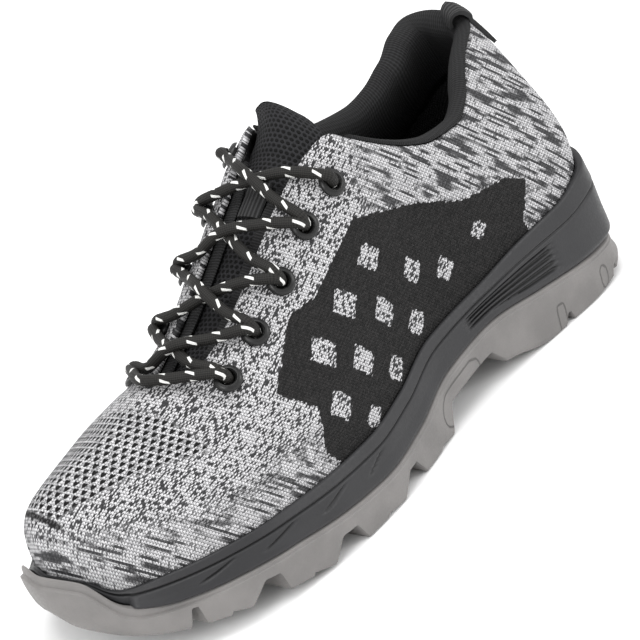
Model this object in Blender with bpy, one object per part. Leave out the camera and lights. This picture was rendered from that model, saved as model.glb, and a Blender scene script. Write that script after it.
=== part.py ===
import bisect
import math

import bmesh
import bpy
from mathutils import Vector

# Driving sizes in metres: a left shoe, men's EU 42, toe towards +X, outer side towards +Y
LENGTH = 0.2975
BALL_WIDTH = 0.107
RIM_HEIGHT = 0.050
TOE_SPRING = 0.020
UPPER_HEIGHT = 0.120
UPPER_WALL = 0.0026
GAP = 0.0003

# Midsole cup
RIM_WIDTH = 0.0010
RECESS_DEPTH = 0.0040
RIM_INSET = 0.0048
GROOVE_DEPTH = 0.0010
RIB_DEPTH = 0.0012
RIB_COUNT = 4
INSOLE_THICKNESS = 0.0040
INSOLE_CLEARANCE = 0.0008
BED_SLOPE = 0.0022
CREST_CLEARANCE = 0.0038
HEEL_SWELL = 0.0018

# Outsole
BUMPER_WALL = 0.0034
LIP_STEP = 0.0009
LIP_DROP = 0.0042
BUMPER_CREST = 0.0030
BUMPER_TURN = 0.6
LUG_STEP = 0.0012
LUG_BEVEL = 0.0012
TOE_ROLL = 0.0035
TOE_INNER_ROLL = 0.0065
HEEL_FLARE = 0.0025
SEAT_SHARE = 0.35
CHANNEL_WIDTH = 0.012

# Tongue, cuff and trims
TONGUE_THICKNESS = 0.0055
TONGUE_ARCH = 0.0080
TONGUE_PAST = 0.0205
TONGUE_LEAN = math.radians(45)
TONGUE_HOLD = 0.75
TONGUE_SHIFT = 0.0070
TRIM_THICKNESS = 0.0016
TRIM_GAP = 0.0008
TRIM_OVERHANG = 0.0055
TRIM_TAPER = 0.7
TRIM_UNDERLAP = 0.0150
TRIM_FRONT_PLACE = 5.5
TRIM_TOP_PLACE = 9.6
RIB_RUN = 0.075
CUFF_THICKNESS = 0.0060
CUFF_ROLL = 0.0030
TAB_THICKNESS = 0.0016
TAB_PLACES = (14.66, 14.75, 14.84, 14.93, -14.98)
LOOP_THICKNESS = 0.0012

# Eyelets and lace
EYELET_COUNT = 5
EYELET_OUTER = 0.0105
EYELET_BORE = 0.0052
EYELET_BARREL = 0.0070
EYELET_PROUD = 0.0014
EYELET_REST = 0.0005
FLANGE_MARGIN = 0.0005
CUTTER_LENGTH = 0.016
EYELET_SIDES = 8
EYELET_FIRST = 0.0655
EYELET_PITCH = 0.0185
EYELET_HALF = 0.0245
EYELET_INNER_HALF = 0.0195
LACE_DIAMETER = 0.0042
LACE_CROWN = 0.0030
LACE_SIDES = 6
LACE_STEPS = 8
THROAT_SLOPE = math.radians(29)
THROAT_RISE = Vector((math.sin(THROAT_SLOPE), 0.0, math.cos(THROAT_SLOPE)))

ROWS = 15
SLICES_PER_ROW = 2

# One row for each section of the sole, toe to heel. along is a share of LENGTH from the heel, lateral and
# medial are shares of BALL_WIDTH, rim (top edge), split (black over grey), web (between the lugs) and bed
# are shares of RIM_HEIGHT, and tread is a share of TOE_SPRING.
SOLE_COLUMNS = ("along", "lateral", "medial", "rim", "split", "web", "bed", "tread")
SOLE_ROWS = (
    (1.000, -0.010, -0.010, 0.730, 0.700, 0.460, 0.570, 0.900),
    (0.985, 0.119, -0.130, 0.667, 0.640, 0.430, 0.550, 0.680),
    (0.960, 0.226, -0.225, 0.552, 0.450, 0.370, 0.515, 0.500),
    (0.917, 0.346, -0.322, 0.582, 0.392, 0.325, 0.470, 0.430),
    (0.855, 0.442, -0.405, 0.595, 0.385, 0.280, 0.425, 0.320),
    (0.780, 0.495, -0.458, 0.590, 0.362, 0.230, 0.375, 0.180),
    (0.689, 0.510, -0.470, 0.575, 0.305, 0.160, 0.340, 0.000),
    (0.592, 0.492, -0.419, 0.565, 0.270, 0.150, 0.350, 0.000),
    (0.504, 0.442, -0.351, 0.605, 0.315, 0.165, 0.390, 0.000),
    (0.410, 0.383, -0.319, 0.715, 0.440, 0.230, 0.450, 0.000),
    (0.306, 0.360, -0.333, 0.745, 0.485, 0.280, 0.500, 0.300),
    (0.211, 0.360, -0.348, 0.810, 0.415, 0.170, 0.530, 0.000),
    (0.124, 0.358, -0.342, 0.840, 0.350, 0.150, 0.550, 0.000),
    (0.055, 0.328, -0.300, 0.930, 0.320, 0.160, 0.560, 0.060),
    (0.013, 0.214, -0.170, 0.980, 0.310, 0.180, 0.565, 0.200),
    (0.000, 0.005, 0.005, 1.000, 0.310, 0.200, 0.570, 0.300),
)

# Gaps between the lugs, as shares of LENGTH from the heel: back end, front end, slope at each end, and
# how far up to the web each one goes
NOTCHES = (
    (0.044, 0.062, 0.006, 0.006, 0.5),
    (0.160, 0.178, 0.006, 0.006, 0.5),
    (0.300, 0.437, 0.024, 0.012, 1.0),
    (0.518, 0.579, 0.019, 0.023, 1.0),
    (0.660, 0.723, 0.015, 0.021, 1.0),
    (0.796, 0.847, 0.008, 0.022, 1.0),
    (0.899, 0.914, 0.004, 0.004, 1.0),
)

# Side of the midsole, bottom to top: share of the height from split to rim, and how far it stands back
# from the outline
MIDSOLE_SIDE = (
    (0.00, 0.0010),
    (0.08, 0.0006),
    (0.66, 0.0030),
    (0.73, 0.0030),
    (1.00, 0.0048),
)
RIB_BAND = (0.13, 0.57)
RIB_SPAN = (0.16, 0.37)
GROOVE_BAND = (0.68, 0.71)

# Line that the ribs of the upper end on: up the middle of the vamp, round the throat and along the collar.
# at counts the rows of SOLE_ROWS, along is a share of LENGTH, centre and gap (half the opening) are shares
# of BALL_WIDTH, height is a share of UPPER_HEIGHT. On the inner side the edge stands further out by lean and
# higher by lift, shares of the same sizes.
TOP_COLUMNS = ("at", "along", "centre", "gap", "height", "lean", "lift")
TOP_ROWS = (
    (0.0, 0.8840, -0.012, 0.000, 0.525, 0.000, 0.000),
    (2.0, 0.8710, -0.010, 0.000, 0.532, 0.000, 0.000),
    (4.0, 0.8220, 0.004, 0.000, 0.560, 0.000, 0.000),
    (6.0, 0.7500, 0.018, 0.000, 0.604, 0.000, 0.000),
    (6.3, 0.7450, 0.018, 0.050, 0.604, -0.012, -0.012),
    (6.6, 0.7330, 0.018, 0.096, 0.610, -0.024, -0.028),
    (6.9, 0.7150, 0.018, 0.123, 0.624, -0.034, -0.036),
    (7.2, 0.6890, 0.018, 0.135, 0.648, -0.040, -0.034),
    (7.6, 0.6500, 0.018, 0.137, 0.698, -0.046, -0.024),
    (8.0, 0.6140, 0.018, 0.137, 0.752, -0.050, -0.008),
    (9.0, 0.5300, 0.018, 0.139, 0.898, -0.045, -0.006),
    (9.6, 0.4780, 0.017, 0.142, 0.959, -0.010, 0.000),
    (10.0, 0.4320, 0.014, 0.168, 0.995, 0.000, 0.000),
    (10.3, 0.4095, 0.010, 0.215, 0.955, 0.000, 0.000),
    (10.7, 0.3770, 0.009, 0.250, 0.896, 0.000, 0.000),
    (11.1, 0.3380, 0.009, 0.269, 0.839, 0.000, 0.000),
    (11.6, 0.2925, 0.017, 0.263, 0.796, 0.000, 0.000),
    (12.1, 0.2405, 0.015, 0.253, 0.782, -0.004, 0.000),
    (12.6, 0.2050, 0.012, 0.231, 0.815, -0.016, 0.000),
    (13.1, 0.1780, 0.002, 0.199, 0.862, -0.016, 0.002),
    (13.7, 0.1450, -0.012, 0.160, 0.895, 0.010, 0.024),
    (14.3, 0.1080, -0.024, 0.119, 0.912, 0.038, 0.026),
    (14.7, 0.0860, -0.029, 0.074, 0.918, 0.028, 0.020),
    (15.0, 0.0760, -0.029, 0.000, 0.927, 0.000, 0.000),
)
THROAT_MIDDLE = 0.018
THROAT_FRONT = 6.0
THROAT_TOP = 10.0
THROAT_TURN = 1.2

# Curve of each rib from the midsole to that line: rise is a share of its height, swell and reach are shares
# of BALL_WIDTH, drop is a share of UPPER_HEIGHT. The inner side has a rise, reach and drop of its own.
RIB_COLUMNS = ("at", "rise", "swell", "reach", "drop", "inner_rise", "inner_reach", "inner_drop")
RIB_ROWS = (
    (0.0, 0.78, 0.028, 0.206, 0.000, 0.78, 0.206, 0.000),
    (2.0, 0.74, 0.026, 0.206, 0.000, 0.70, 0.200, 0.012),
    (4.0, 0.62, 0.024, 0.225, 0.000, 0.46, 0.190, 0.038),
    (6.0, 0.52, 0.020, 0.245, 0.000, 0.38, 0.205, 0.038),
    (7.0, 0.50, 0.015, 0.210, 0.005, 0.42, 0.190, 0.034),
    (8.0, 0.50, 0.009, 0.200, 0.020, 0.46, 0.200, 0.032),
    (9.0, 0.50, 0.000, 0.200, 0.045, 0.49, 0.200, 0.048),
    (10.0, 0.44, 0.000, 0.165, 0.100, 0.44, 0.165, 0.100),
    (10.5, 0.41, 0.004, 0.118, 0.170, 0.41, 0.118, 0.170),
    (11.2, 0.38, 0.010, 0.065, 0.220, 0.38, 0.065, 0.220),
    (12.0, 0.38, 0.019, 0.047, 0.183, 0.38, 0.047, 0.183),
    (13.0, 0.38, 0.028, 0.068, 0.180, 0.38, 0.068, 0.180),
    (14.0, 0.39, 0.028, 0.104, 0.140, 0.39, 0.104, 0.140),
    (15.0, 0.40, 0.028, 0.112, 0.135, 0.40, 0.112, 0.135),
)

# Rows of the tongue, front to tip: at counts the rows of SOLE_ROWS, low is how far down each rib it reaches,
# arch and thick are shares of TONGUE_ARCH and TONGUE_THICKNESS, and past is a share of TONGUE_PAST beyond
# the last rib
TONGUE_ROWS = (
    (5.2, 0.90, 0.00, 0.35, 0.0),
    (5.7, 0.86, 0.00, 0.45, 0.0),
    (6.4, 0.80, 0.05, 0.70, 0.0),
    (7.0, 0.77, 0.15, 0.90, 0.0),
    (7.6, 0.77, 0.25, 1.00, 0.0),
    (8.2, 0.78, 0.35, 1.00, 0.0),
    (8.8, 0.79, 0.40, 1.00, 0.0),
    (9.3, 0.80, 0.45, 1.00, 0.0),
    (9.7, 0.82, 0.55, 1.00, 0.0),
    (9.7, 0.82, 0.80, 1.00, 0.4),
    (9.7, 0.82, 0.90, 1.00, 0.8),
    (9.7, 0.82, 0.85, 0.50, 1.0),
)


def smooth_columns(rows, names, first):
    """Monotone cubic through each column of a table, as name: function of the first column"""
    knots = [row[0] for row in rows] if first else [float(i) for i in range(len(rows))]
    curves = {}
    for column, name in enumerate(names):
        if first and column == 0:
            continue
        values = [row[column] for row in rows]
        secants = [
            (values[i + 1] - values[i]) / (knots[i + 1] - knots[i])
            for i in range(len(knots) - 1)
        ]
        slopes = [0.0] * len(knots)
        for i in range(1, len(knots) - 1):
            before, after = secants[i - 1], secants[i]
            if before * after > 0:
                slopes[i] = 2 * before * after / (before + after)
        curves[name] = (knots, values, slopes)
    return curves


def read_curve(curve, at):
    knots, values, slopes = curve
    at = min(max(at, knots[0]), knots[-1])
    i = min(bisect.bisect_right(knots, at), len(knots) - 1) - 1
    span = knots[i + 1] - knots[i]
    s = (at - knots[i]) / span
    return (
        values[i] * (1 + 2 * s) * (1 - s) ** 2
        + slopes[i] * span * s * (1 - s) ** 2
        + values[i + 1] * s * s * (3 - 2 * s)
        + slopes[i + 1] * span * s * s * (s - 1)
    )


def round_ends(first, second, ends):
    """Let two sides of a closed line pass smoothly through the point where they meet"""
    for end, inner in ends:
        lead = first[1][inner] - first[1][end]
        trail = second[1][inner] - second[1][end]
        slope = (lead - trail) / 2 / (first[0][inner] - first[0][end])
        first[2][end] = slope
        second[2][end] = -slope


SOLE = smooth_columns(SOLE_ROWS, SOLE_COLUMNS, False)
TOP = smooth_columns(TOP_ROWS, TOP_COLUMNS, True)
RIBS = smooth_columns(RIB_ROWS, RIB_COLUMNS, True)
round_ends(SOLE["lateral"], SOLE["medial"], ((0, 1), (-1, -2)))
TOP["gap"][2][-1] = (TOP["gap"][1][-1] - TOP["gap"][1][-2]) / (TOP["gap"][0][-1] - TOP["gap"][0][-2])

# A place round the shoe is a number from -15 to 15: 0 at the toe, positive along the outer side and
# negative along the inner side, and 15 or -15 at the heel
OUTER_HALF = max(row[1] for row in SOLE_ROWS)
INNER_HALF = min(row[2] for row in SOLE_ROWS)
MIDDLE = (OUTER_HALF + INNER_HALF) / 2


def fade(value, start, end):
    s = min(max((value - start) / (end - start), 0.0), 1.0)
    return s * s * (3 - 2 * s)


def bumper_place(place):
    """Place counted from the bumper's crest, which stands a little to the inner side of the toe"""
    at = abs(place)
    if place >= 0:
        return at
    return max(at - BUMPER_TURN * (1 - fade(at, 2.5, 5.0)), 0.0)


def sole(name, place):
    at = bumper_place(place) if name in ("rim", "split") else abs(place)
    return read_curve(SOLE[name], at)


def share_to_plan(along, across):
    return Vector(((along - 0.5) * LENGTH + HEEL_FLARE / 2, (across - MIDDLE) * BALL_WIDTH, 0.0))


def wrap(place):
    if place > ROWS:
        return place - 2 * ROWS
    if place < -ROWS:
        return place + 2 * ROWS
    return place


def outline(place):
    side = "lateral" if place >= 0 else "medial"
    return share_to_plan(sole("along", place), sole(side, place))


def outward(place):
    step = 0.02
    run = outline(wrap(place + step)) - outline(wrap(place - step))
    return Vector((run.y, -run.x, 0.0)).normalized()


def level(name, place):
    size = TOE_SPRING if name == "tread" else RIM_HEIGHT
    return sole(name, place) * size


def inset(place, distance, height):
    spot = outline(place) - outward(place) * distance
    spot.z = height
    return spot


def place_of(along):
    """Place on the outer side whose section lies at a share of LENGTH"""
    low, high = 0.0, float(ROWS)
    for _ in range(40):
        middle = (low + high) / 2
        if sole("along", middle) > along:
            low = middle
        else:
            high = middle
    return (low + high) / 2


# Mesh helpers


class Skin:
    """Faces laid between rows of points, with points in one place welded"""

    def __init__(self):
        self.mesh = bmesh.new()
        self.spots = {}

    def vert(self, point):
        key = tuple(round(c * 1e6) for c in point)
        if key not in self.spots:
            self.spots[key] = self.mesh.verts.new(point)
        return self.spots[key]

    def face(self, points):
        corners = []
        for point in points:
            vert = self.vert(point)
            if vert not in corners:
                corners.append(vert)
        if len(corners) > 2 and not self.mesh.faces.get(corners):
            self.mesh.faces.new(corners)

    def rows(self, rows, closed=False):
        for first, second in zip(rows, rows[1:]):
            if closed:
                first, second = first + first[:1], second + second[:1]
            for a, b, c, d in zip(first, first[1:], second[1:], second):
                self.face((a, b, c))
                self.face((a, c, d))

    def finish(self, name, material, sharp=35.0):
        bmesh.ops.remove_doubles(self.mesh, verts=self.mesh.verts, dist=2e-6)
        bmesh.ops.recalc_face_normals(self.mesh, faces=self.mesh.faces)
        data = bpy.data.meshes.new(name)
        self.mesh.to_mesh(data)
        self.mesh.free()
        data.shade_smooth()
        data.set_sharp_from_angle(angle=math.radians(sharp))
        return add_object(name, data, material)


def add_object(name, data, material):
    piece = bpy.data.objects.new(name, data)
    bpy.context.scene.collection.objects.link(piece)
    data.materials.append(material)
    return piece


def finish_material(name, color, roughness, metallic=0.0):
    material = bpy.data.materials.new(name)
    material.use_nodes = True
    shader = material.node_tree.nodes["Principled BSDF"]
    shader.inputs["Base Color"].default_value = (*color, 1.0)
    shader.inputs["Roughness"].default_value = roughness
    shader.inputs["Metallic"].default_value = metallic
    return material


def even_places():
    count = ROWS * SLICES_PER_ROW
    return [ROWS * i / count for i in range(count + 1)]


def ring_of(places):
    return places + [-place for place in reversed(places[1:-1])]


# Outsole


def notch_places():
    """Ends of each notch and the step in each lug"""
    places = []
    edges = []
    for back, front, back_slope, front_slope, _ in NOTCHES:
        places += [place_of(a) for a in (back, back + back_slope, front - front_slope, front)]
        edges.append((back, front))
    for (_, start), (end, _) in zip(edges[2:-1], edges[3:]):
        middle = (start + end) / 2
        places += [place_of(middle), place_of(middle + LUG_STEP / LENGTH)]
    return places


def sole_places():
    return sorted(set(even_places() + notch_places()))


def facet(place, spot):
    """A spot on the straight facet between two even places, so that midsole and outsole share facets"""
    count = abs(place) * SLICES_PER_ROW
    side = 1 if place >= 0 else -1
    before = min(math.floor(count), ROWS * SLICES_PER_ROW - 1)
    first = spot(side * before / SLICES_PER_ROW)
    second = spot(side * (before + 1) / SLICES_PER_ROW)
    return first.lerp(second, count - before)


def crest(place):
    """How far the bumper's outer edge stands above the split at the toe"""
    return BUMPER_CREST * (1 - fade(bumper_place(place), 0.8, 2.2))


def seat_height(place):
    """Top of the outsole inside its wall, where the midsole sits"""
    web = level("web", place)
    return web + SEAT_SHARE * (min(level("bed", place), level("split", place)) - web)


def tread_height(place):
    """Underside at the edge: 0 is the foot of a lug, 1 the web, with a small step in each lug"""
    along = sole("along", place)
    lift = 0.0
    for back, front, back_slope, front_slope, share in NOTCHES:
        if back < along < front:
            lift = share * min(1.0, (along - back) / back_slope, (front - along) / front_slope)
    foot = level("tread", place)
    step = 0.0
    edges = [(back, front) for back, front, *_ in NOTCHES]
    for (_, start), (end, _) in zip(edges[2:-1], edges[3:]):
        middle = (start + end) / 2
        if start < along <= middle + 1e-6:
            step = LUG_STEP * (along - start) / (middle - start)
    return foot + step + lift * (level("web", place) - foot)


def build_outsole():
    skin = Skin()
    places = sole_places()
    ring = ring_of(places)

    def lip(place):
        return LIP_STEP * (1 - fade(abs(place), 3.0, 4.0))

    def drop(place):
        return LIP_DROP * (1 - 0.45 * fade(abs(place), 2.0, 3.0))

    def seat(place):
        return facet(place, lambda p: inset(p, BUMPER_WALL + 0.0006, seat_height(p)))

    def inner_rim(place):
        return facet(place, lambda p: inset(p, BUMPER_WALL, level("split", p)))

    def lip_back(place):
        return facet(place, lambda p: inset(p, BUMPER_WALL - 0.0008, level("split", p) + 0.7 * crest(p)))

    def outer_rim(place):
        return facet(place, lambda p: inset(p, 0.0006 + lip(p), level("split", p) + crest(p)))

    def side(place, distance, below):
        return inset(place, distance, level("split", place) + crest(place) - below)

    def roll(place):
        inner = TOE_INNER_ROLL * fade(-place, -0.6, 0.8)
        return (TOE_ROLL + inner) * (1 - fade(abs(place), 1.6, 3.2))

    def shoulder(place):
        foot = tread_height(place)
        flare = HEEL_FLARE * fade(abs(place), 12.0, 14.5)
        top = level("split", place) + crest(place) - drop(place)
        return inset(place, 0.25 * roll(place) - flare, foot + 0.4 * (top - foot))

    def foot_edge(place):
        return inset(place, LUG_BEVEL + roll(place), tread_height(place))

    rings = [
        [seat(p) for p in ring],
        [inner_rim(p) for p in ring],
        [lip_back(p) for p in ring],
        [outer_rim(p) for p in ring],
        [side(p, 0.0004 + lip(p), 0.76 * drop(p)) for p in ring],
        [side(p, 0.0, drop(p)) for p in ring],
        [shoulder(p) for p in ring],
        [foot_edge(p) for p in ring],
    ]
    skin.rows(rings, closed=True)
    skin.rows([[seat(p), seat(-p)] for p in places])

    lanes = []
    for place in places:
        lateral = foot_edge(place)
        medial = foot_edge(-place)
        half = CHANNEL_WIDTH / 2 / max((lateral - medial).length, 2 * CHANNEL_WIDTH)
        depth = fade(place, 2.2, 3.0) * (1 - fade(place, 12.6, 13.4))
        top = lateral.z + depth * max(level("web", place) - lateral.z, 0.0)
        lane = [lateral.lerp(medial, share) for share in (0.0, 0.5 - 1.3 * half, 0.5 - half)]
        lane += [lateral.lerp(medial, share) for share in (0.5 + half, 0.5 + 1.3 * half, 1.0)]
        lane[2].z = top
        lane[3].z = top
        lanes.append(lane)
    skin.rows(lanes)
    grey = finish_material("grey rubber", (0.30, 0.285, 0.28), 0.55)
    return skin.finish("outsole", grey)


# Midsole and insole


def midsole_side():
    """Rings of the side, with the ribs and the groove worked in between the named ones"""
    low, high = RIB_BAND
    pitch = (high - low) / RIB_COUNT

    def stand_back(share):
        for (a, first), (b, second) in zip(MIDSOLE_SIDE, MIDSOLE_SIDE[1:]):
            if a <= share <= b:
                return first + (second - first) * (share - a) / (b - a)
        return MIDSOLE_SIDE[-1][1]

    rings = [(share, distance, 0.0, 0.0) for share, distance in MIDSOLE_SIDE]
    for i in range(RIB_COUNT):
        start = low + i * pitch
        for part, depth in ((0.25, RIB_DEPTH), (0.75, 0.0)):
            share = start + part * pitch
            rings.append((share, stand_back(share), depth, 0.0))
    for share in GROOVE_BAND:
        rings.append((share, stand_back(share), 0.0, GROOVE_DEPTH))
    return sorted(rings)


def build_midsole():
    skin = Skin()
    places = even_places()
    ring = ring_of(places)
    low_end, high_end = RIB_SPAN

    def side_spot(place, share, distance, rib, groove):
        base = level("split", place) + GAP
        height = level("rim", place) - base
        along = sole("along", place)
        window = fade(along, low_end, low_end + 0.02) * (1 - fade(along, high_end - 0.06, high_end))
        deep = min(1.0, height / 0.008)
        back = distance + (CREST_CLEARANCE - distance) * min(crest(place) / 0.0001, 1.0)
        swell = HEEL_SWELL * fade(abs(place), 11.5, 13.5) * min(share / 0.08, 1.0)
        return inset(place, max(back, distance) - swell + rib * window + groove * deep, base + share * height)

    def seat(place):
        return inset(place, BUMPER_WALL + 0.0014, seat_height(place) + GAP)

    rings = [
        [seat(p) for p in ring],
        [inset(p, BUMPER_WALL + 0.0009, level("split", p) + GAP) for p in ring],
    ]
    for share, distance, rib, groove in midsole_side():
        rings.append([side_spot(p, share, distance, rib, groove) for p in ring])
    inner = RIM_INSET + RIM_WIDTH
    ledge = inner + UPPER_WALL + 2 * GAP
    bed_inset = ledge + BED_SLOPE
    rings += [
        [inset(p, inner, level("rim", p) - GAP) for p in ring],
        [inset(p, inner, level("rim", p) - RECESS_DEPTH) for p in ring],
        [inset(p, ledge, level("rim", p) - RECESS_DEPTH) for p in ring],
        [inset(p, bed_inset, level("bed", p)) for p in ring],
    ]
    skin.rows(rings, closed=True)
    skin.rows([[seat(p), seat(-p)] for p in places])
    skin.rows([[inset(p, bed_inset, level("bed", p)), inset(-p, bed_inset, level("bed", p))] for p in places])
    black = finish_material("black foam", (0.040, 0.040, 0.043), 0.5)
    return skin.finish("midsole", black)


def build_insole():
    skin = Skin()
    places = even_places()
    ring = ring_of(places)
    edge = RIM_INSET + RIM_WIDTH + UPPER_WALL + 2 * GAP + BED_SLOPE + INSOLE_CLEARANCE

    def top(place):
        return level("bed", place) + GAP + INSOLE_THICKNESS

    rings = [
        [inset(p, edge + 0.0006, level("bed", p) + GAP) for p in ring],
        [inset(p, edge, level("bed", p) + GAP + 0.0010) for p in ring],
        [inset(p, edge, top(p) - 0.0008) for p in ring],
        [inset(p, edge + 0.0010, top(p)) for p in ring],
    ]
    skin.rows(rings, closed=True)
    skin.rows([[inset(p, edge + 0.0006, level("bed", p) + GAP), inset(-p, edge + 0.0006, level("bed", p) + GAP)]
               for p in places])
    skin.rows([[inset(p, edge + 0.0010, top(p)), inset(-p, edge + 0.0010, top(p))] for p in places])
    cloth = finish_material("insole cloth", (0.030, 0.030, 0.032), 0.9)
    return skin.finish("insole", cloth)


# Upper


def top_line(place):
    at = abs(place)
    half = read_curve(TOP["gap"], at)
    centre = read_curve(TOP["centre"], at)
    lift = 0.0
    across = centre + half
    if place < 0:
        across = centre - half - read_curve(TOP["lean"], at)
        lift = read_curve(TOP["lift"], at)
    spot = share_to_plan(read_curve(TOP["along"], at), across)
    spot.z = (read_curve(TOP["height"], at) + lift) * UPPER_HEIGHT
    return spot


def foot_line(place):
    return inset(place, RIM_INSET + RIM_WIDTH + GAP, level("rim", place))


def upper_point(place, up):
    """Outer face of the upper: up is 0 at the midsole's rim and 1 at the throat or collar"""
    place = wrap(place)
    at = abs(place)
    foot = foot_line(place)
    top = top_line(place)
    away = outward(place)
    height = top.z - foot.z
    side = "" if place >= 0 else "inner_"
    reach = read_curve(RIBS[side + "reach"], at) * BALL_WIDTH
    fall = read_curve(RIBS[side + "drop"], at) * UPPER_HEIGHT
    if at < THROAT_FRONT:
        ahead = top_line(max(at - 0.4, 0.0))
        behind = top_line(at + 0.4)
        run = max(ahead.x - behind.x, 1e-5)
        fall += reach * max(away.x, 0.0) * min((behind.z - ahead.z) / run, 0.5)
    low = foot + away * read_curve(RIBS["swell"], at) * BALL_WIDTH
    low.z += read_curve(RIBS[side + "rise"], at) * height
    high = top + away * reach
    high.z -= fall
    down = 1 - up
    return foot * down ** 3 + low * (3 * up * down ** 2) + high * (3 * up * up * down) + top * up ** 3


def crest_normal(place):
    at = min(max(abs(place), 0.3), THROAT_FRONT - 0.2)
    return (side_normal(at, 0.97) + side_normal(-at, 0.97)).normalized()


def upper_normal(place, up):
    """Outward direction, evened out round the front of the throat, where the ribs run along its edge"""
    at = abs(place)
    if up > 0.995 and at <= THROAT_FRONT:
        return crest_normal(place)
    own = side_normal(place, min(up, 0.98))
    share = (at - THROAT_FRONT) / THROAT_TURN
    if up < 0.72 or share <= 0 or share >= 1:
        return own
    back = side_normal(math.copysign(THROAT_FRONT + THROAT_TURN, place), min(up, 0.98))
    return own.lerp(crest_normal(THROAT_FRONT).lerp(back, share), fade(up, 0.72, 0.88)).normalized()


def side_normal(place, up):
    step = 0.02
    round_run = upper_point(place + step, up) - upper_point(place - step, up)
    up_run = upper_point(place, min(up + step, 1.0)) - upper_point(place, max(up - step, 0.0))
    return round_run.cross(up_run).normalized()


def upper_inside(place, up, depth):
    """Point a depth below the outer face"""
    return upper_point(place, up) - upper_normal(place, up) * depth


UP_STEPS = (0.0, 0.12, 0.28, 0.44, 0.60, 0.75, 0.89, 1.0)
CUFF_STEPS = UP_STEPS[4:]


def build_upper():
    skin = Skin()
    places = even_places()
    ring = ring_of(places)
    foot = RECESS_DEPTH - GAP
    outer = [[upper_point(p, 0.0) - Vector((0, 0, foot)) for p in ring]]
    outer += [[upper_point(p, up) for p in ring] for up in UP_STEPS]
    inner = [[inset(p, RIM_INSET + RIM_WIDTH + GAP + UPPER_WALL, level("rim", p) - foot) for p in ring]]
    inner += [[upper_inside(p, up, UPPER_WALL) for p in ring] for up in UP_STEPS]
    skin.rows(outer, closed=True)
    skin.rows(inner, closed=True)
    skin.rows([outer[0], inner[0]], closed=True)
    count = len(ring)
    for i in range(count):
        after = (i + 1) % count
        if max(abs(ring[i]), abs(ring[after])) > THROAT_FRONT:
            skin.face((outer[-1][i], outer[-1][after], inner[-1][after], inner[-1][i]))
    knit = finish_material("grey knit", (0.36, 0.36, 0.37), 0.85)
    return skin.finish("upper", knit, sharp=60.0)


# Throat and collar


def top_run(place):
    """Direction in which a rib arrives at the top line"""
    return (upper_point(place, 1.0) - upper_point(place, 0.96)).normalized()


def edge_run(place):
    """Direction across the throat edge, into the opening"""
    step = 0.05
    along = (top_line(place + step) - top_line(place - step)).normalized()
    return upper_normal(place, 1.0).cross(along).normalized()


def closed_band(sections, skin):
    """Closed loops in a row, with an end face on the first and the last"""
    skin.rows(sections, closed=True)
    for end in (sections[0], sections[-1]):
        half = len(end) // 2
        left, right = end[:half], end[half:][::-1]
        skin.rows([left, right])


def trim_places():
    count = 9
    side = [TRIM_TOP_PLACE - (TRIM_TOP_PLACE - THROAT_FRONT) * i / count for i in range(count)]
    side += [THROAT_FRONT + 0.2]
    return side + [-place for place in reversed(side)]


def build_throat_trim():
    """Strip under the knit along the throat, showing inside its edge"""
    skin = Skin()
    sections = []
    for place in trim_places():
        at = abs(place)
        share = fade(at, THROAT_FRONT, THROAT_FRONT + 1.2)
        side = 1 if place > 0 else -1
        back = side * (TRIM_FRONT_PLACE + (at - TRIM_FRONT_PLACE) * share)
        low = 1.0 - share * TRIM_UNDERLAP / RIB_RUN
        middle = (1.0 + low) / 2
        overhang = TRIM_OVERHANG * (1 - TRIM_TAPER * fade(at, TRIM_TOP_PLACE - 0.7, TRIM_TOP_PLACE))
        top, bottom = [], []
        upper_side = UPPER_WALL + TRIM_GAP
        for depth, line in ((upper_side, top), (upper_side + TRIM_THICKNESS, bottom)):
            edge = upper_inside(place, 1.0, depth)
            line.append(upper_inside(back, low, depth))
            line.append(upper_inside((back + place) / 2, middle, depth))
            line.append(edge)
            line.append(edge + edge_run(place) * overhang)
        sections.append(top + bottom[::-1])
    closed_band(sections, skin)
    black = finish_material("black webbing", (0.018, 0.018, 0.019), 0.8)
    return skin.finish("throat_trim", black)


# Collar cuff


def build_cuff():
    """Padded lining band: a roll over the knit's edge, then a pad down the inside of the collar"""
    skin = Skin()
    side = [place for place in even_places() if place > THROAT_TOP]
    places = side + [-place for place in reversed(side[:-1])]
    sections = []
    for place in places:
        top = upper_point(place, 1.0)
        away = upper_normal(place, 1.0)
        rise = top_run(place)
        near = UPPER_WALL + GAP
        far = near + CUFF_THICKNESS
        section = [upper_inside(place, up, near) for up in CUFF_STEPS]
        section += [
            top - away * near + rise * 1.5 * GAP,
            top + rise * 1.5 * GAP - away * GAP,
            top + rise * CUFF_ROLL * 0.55 + away * 0.0006,
            top + rise * CUFF_ROLL - away * 0.4 * near,
            top + rise * CUFF_ROLL * 1.1 - away * near,
            top + rise * CUFF_ROLL * 0.7 - away * 0.75 * far,
            top - away * far,
            upper_inside(place, CUFF_STEPS[2], far),
            upper_inside(place, CUFF_STEPS[1], near + 0.8 * CUFF_THICKNESS),
            upper_inside(place, CUFF_STEPS[0], near + 0.3 * CUFF_THICKNESS),
        ]
        sections.append(section)
    closed_band(sections, skin)
    lining = finish_material("black lining", (0.016, 0.016, 0.017), 0.9)
    return skin.finish("collar_cuff", lining, sharp=70.0)


# Tongue


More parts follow.
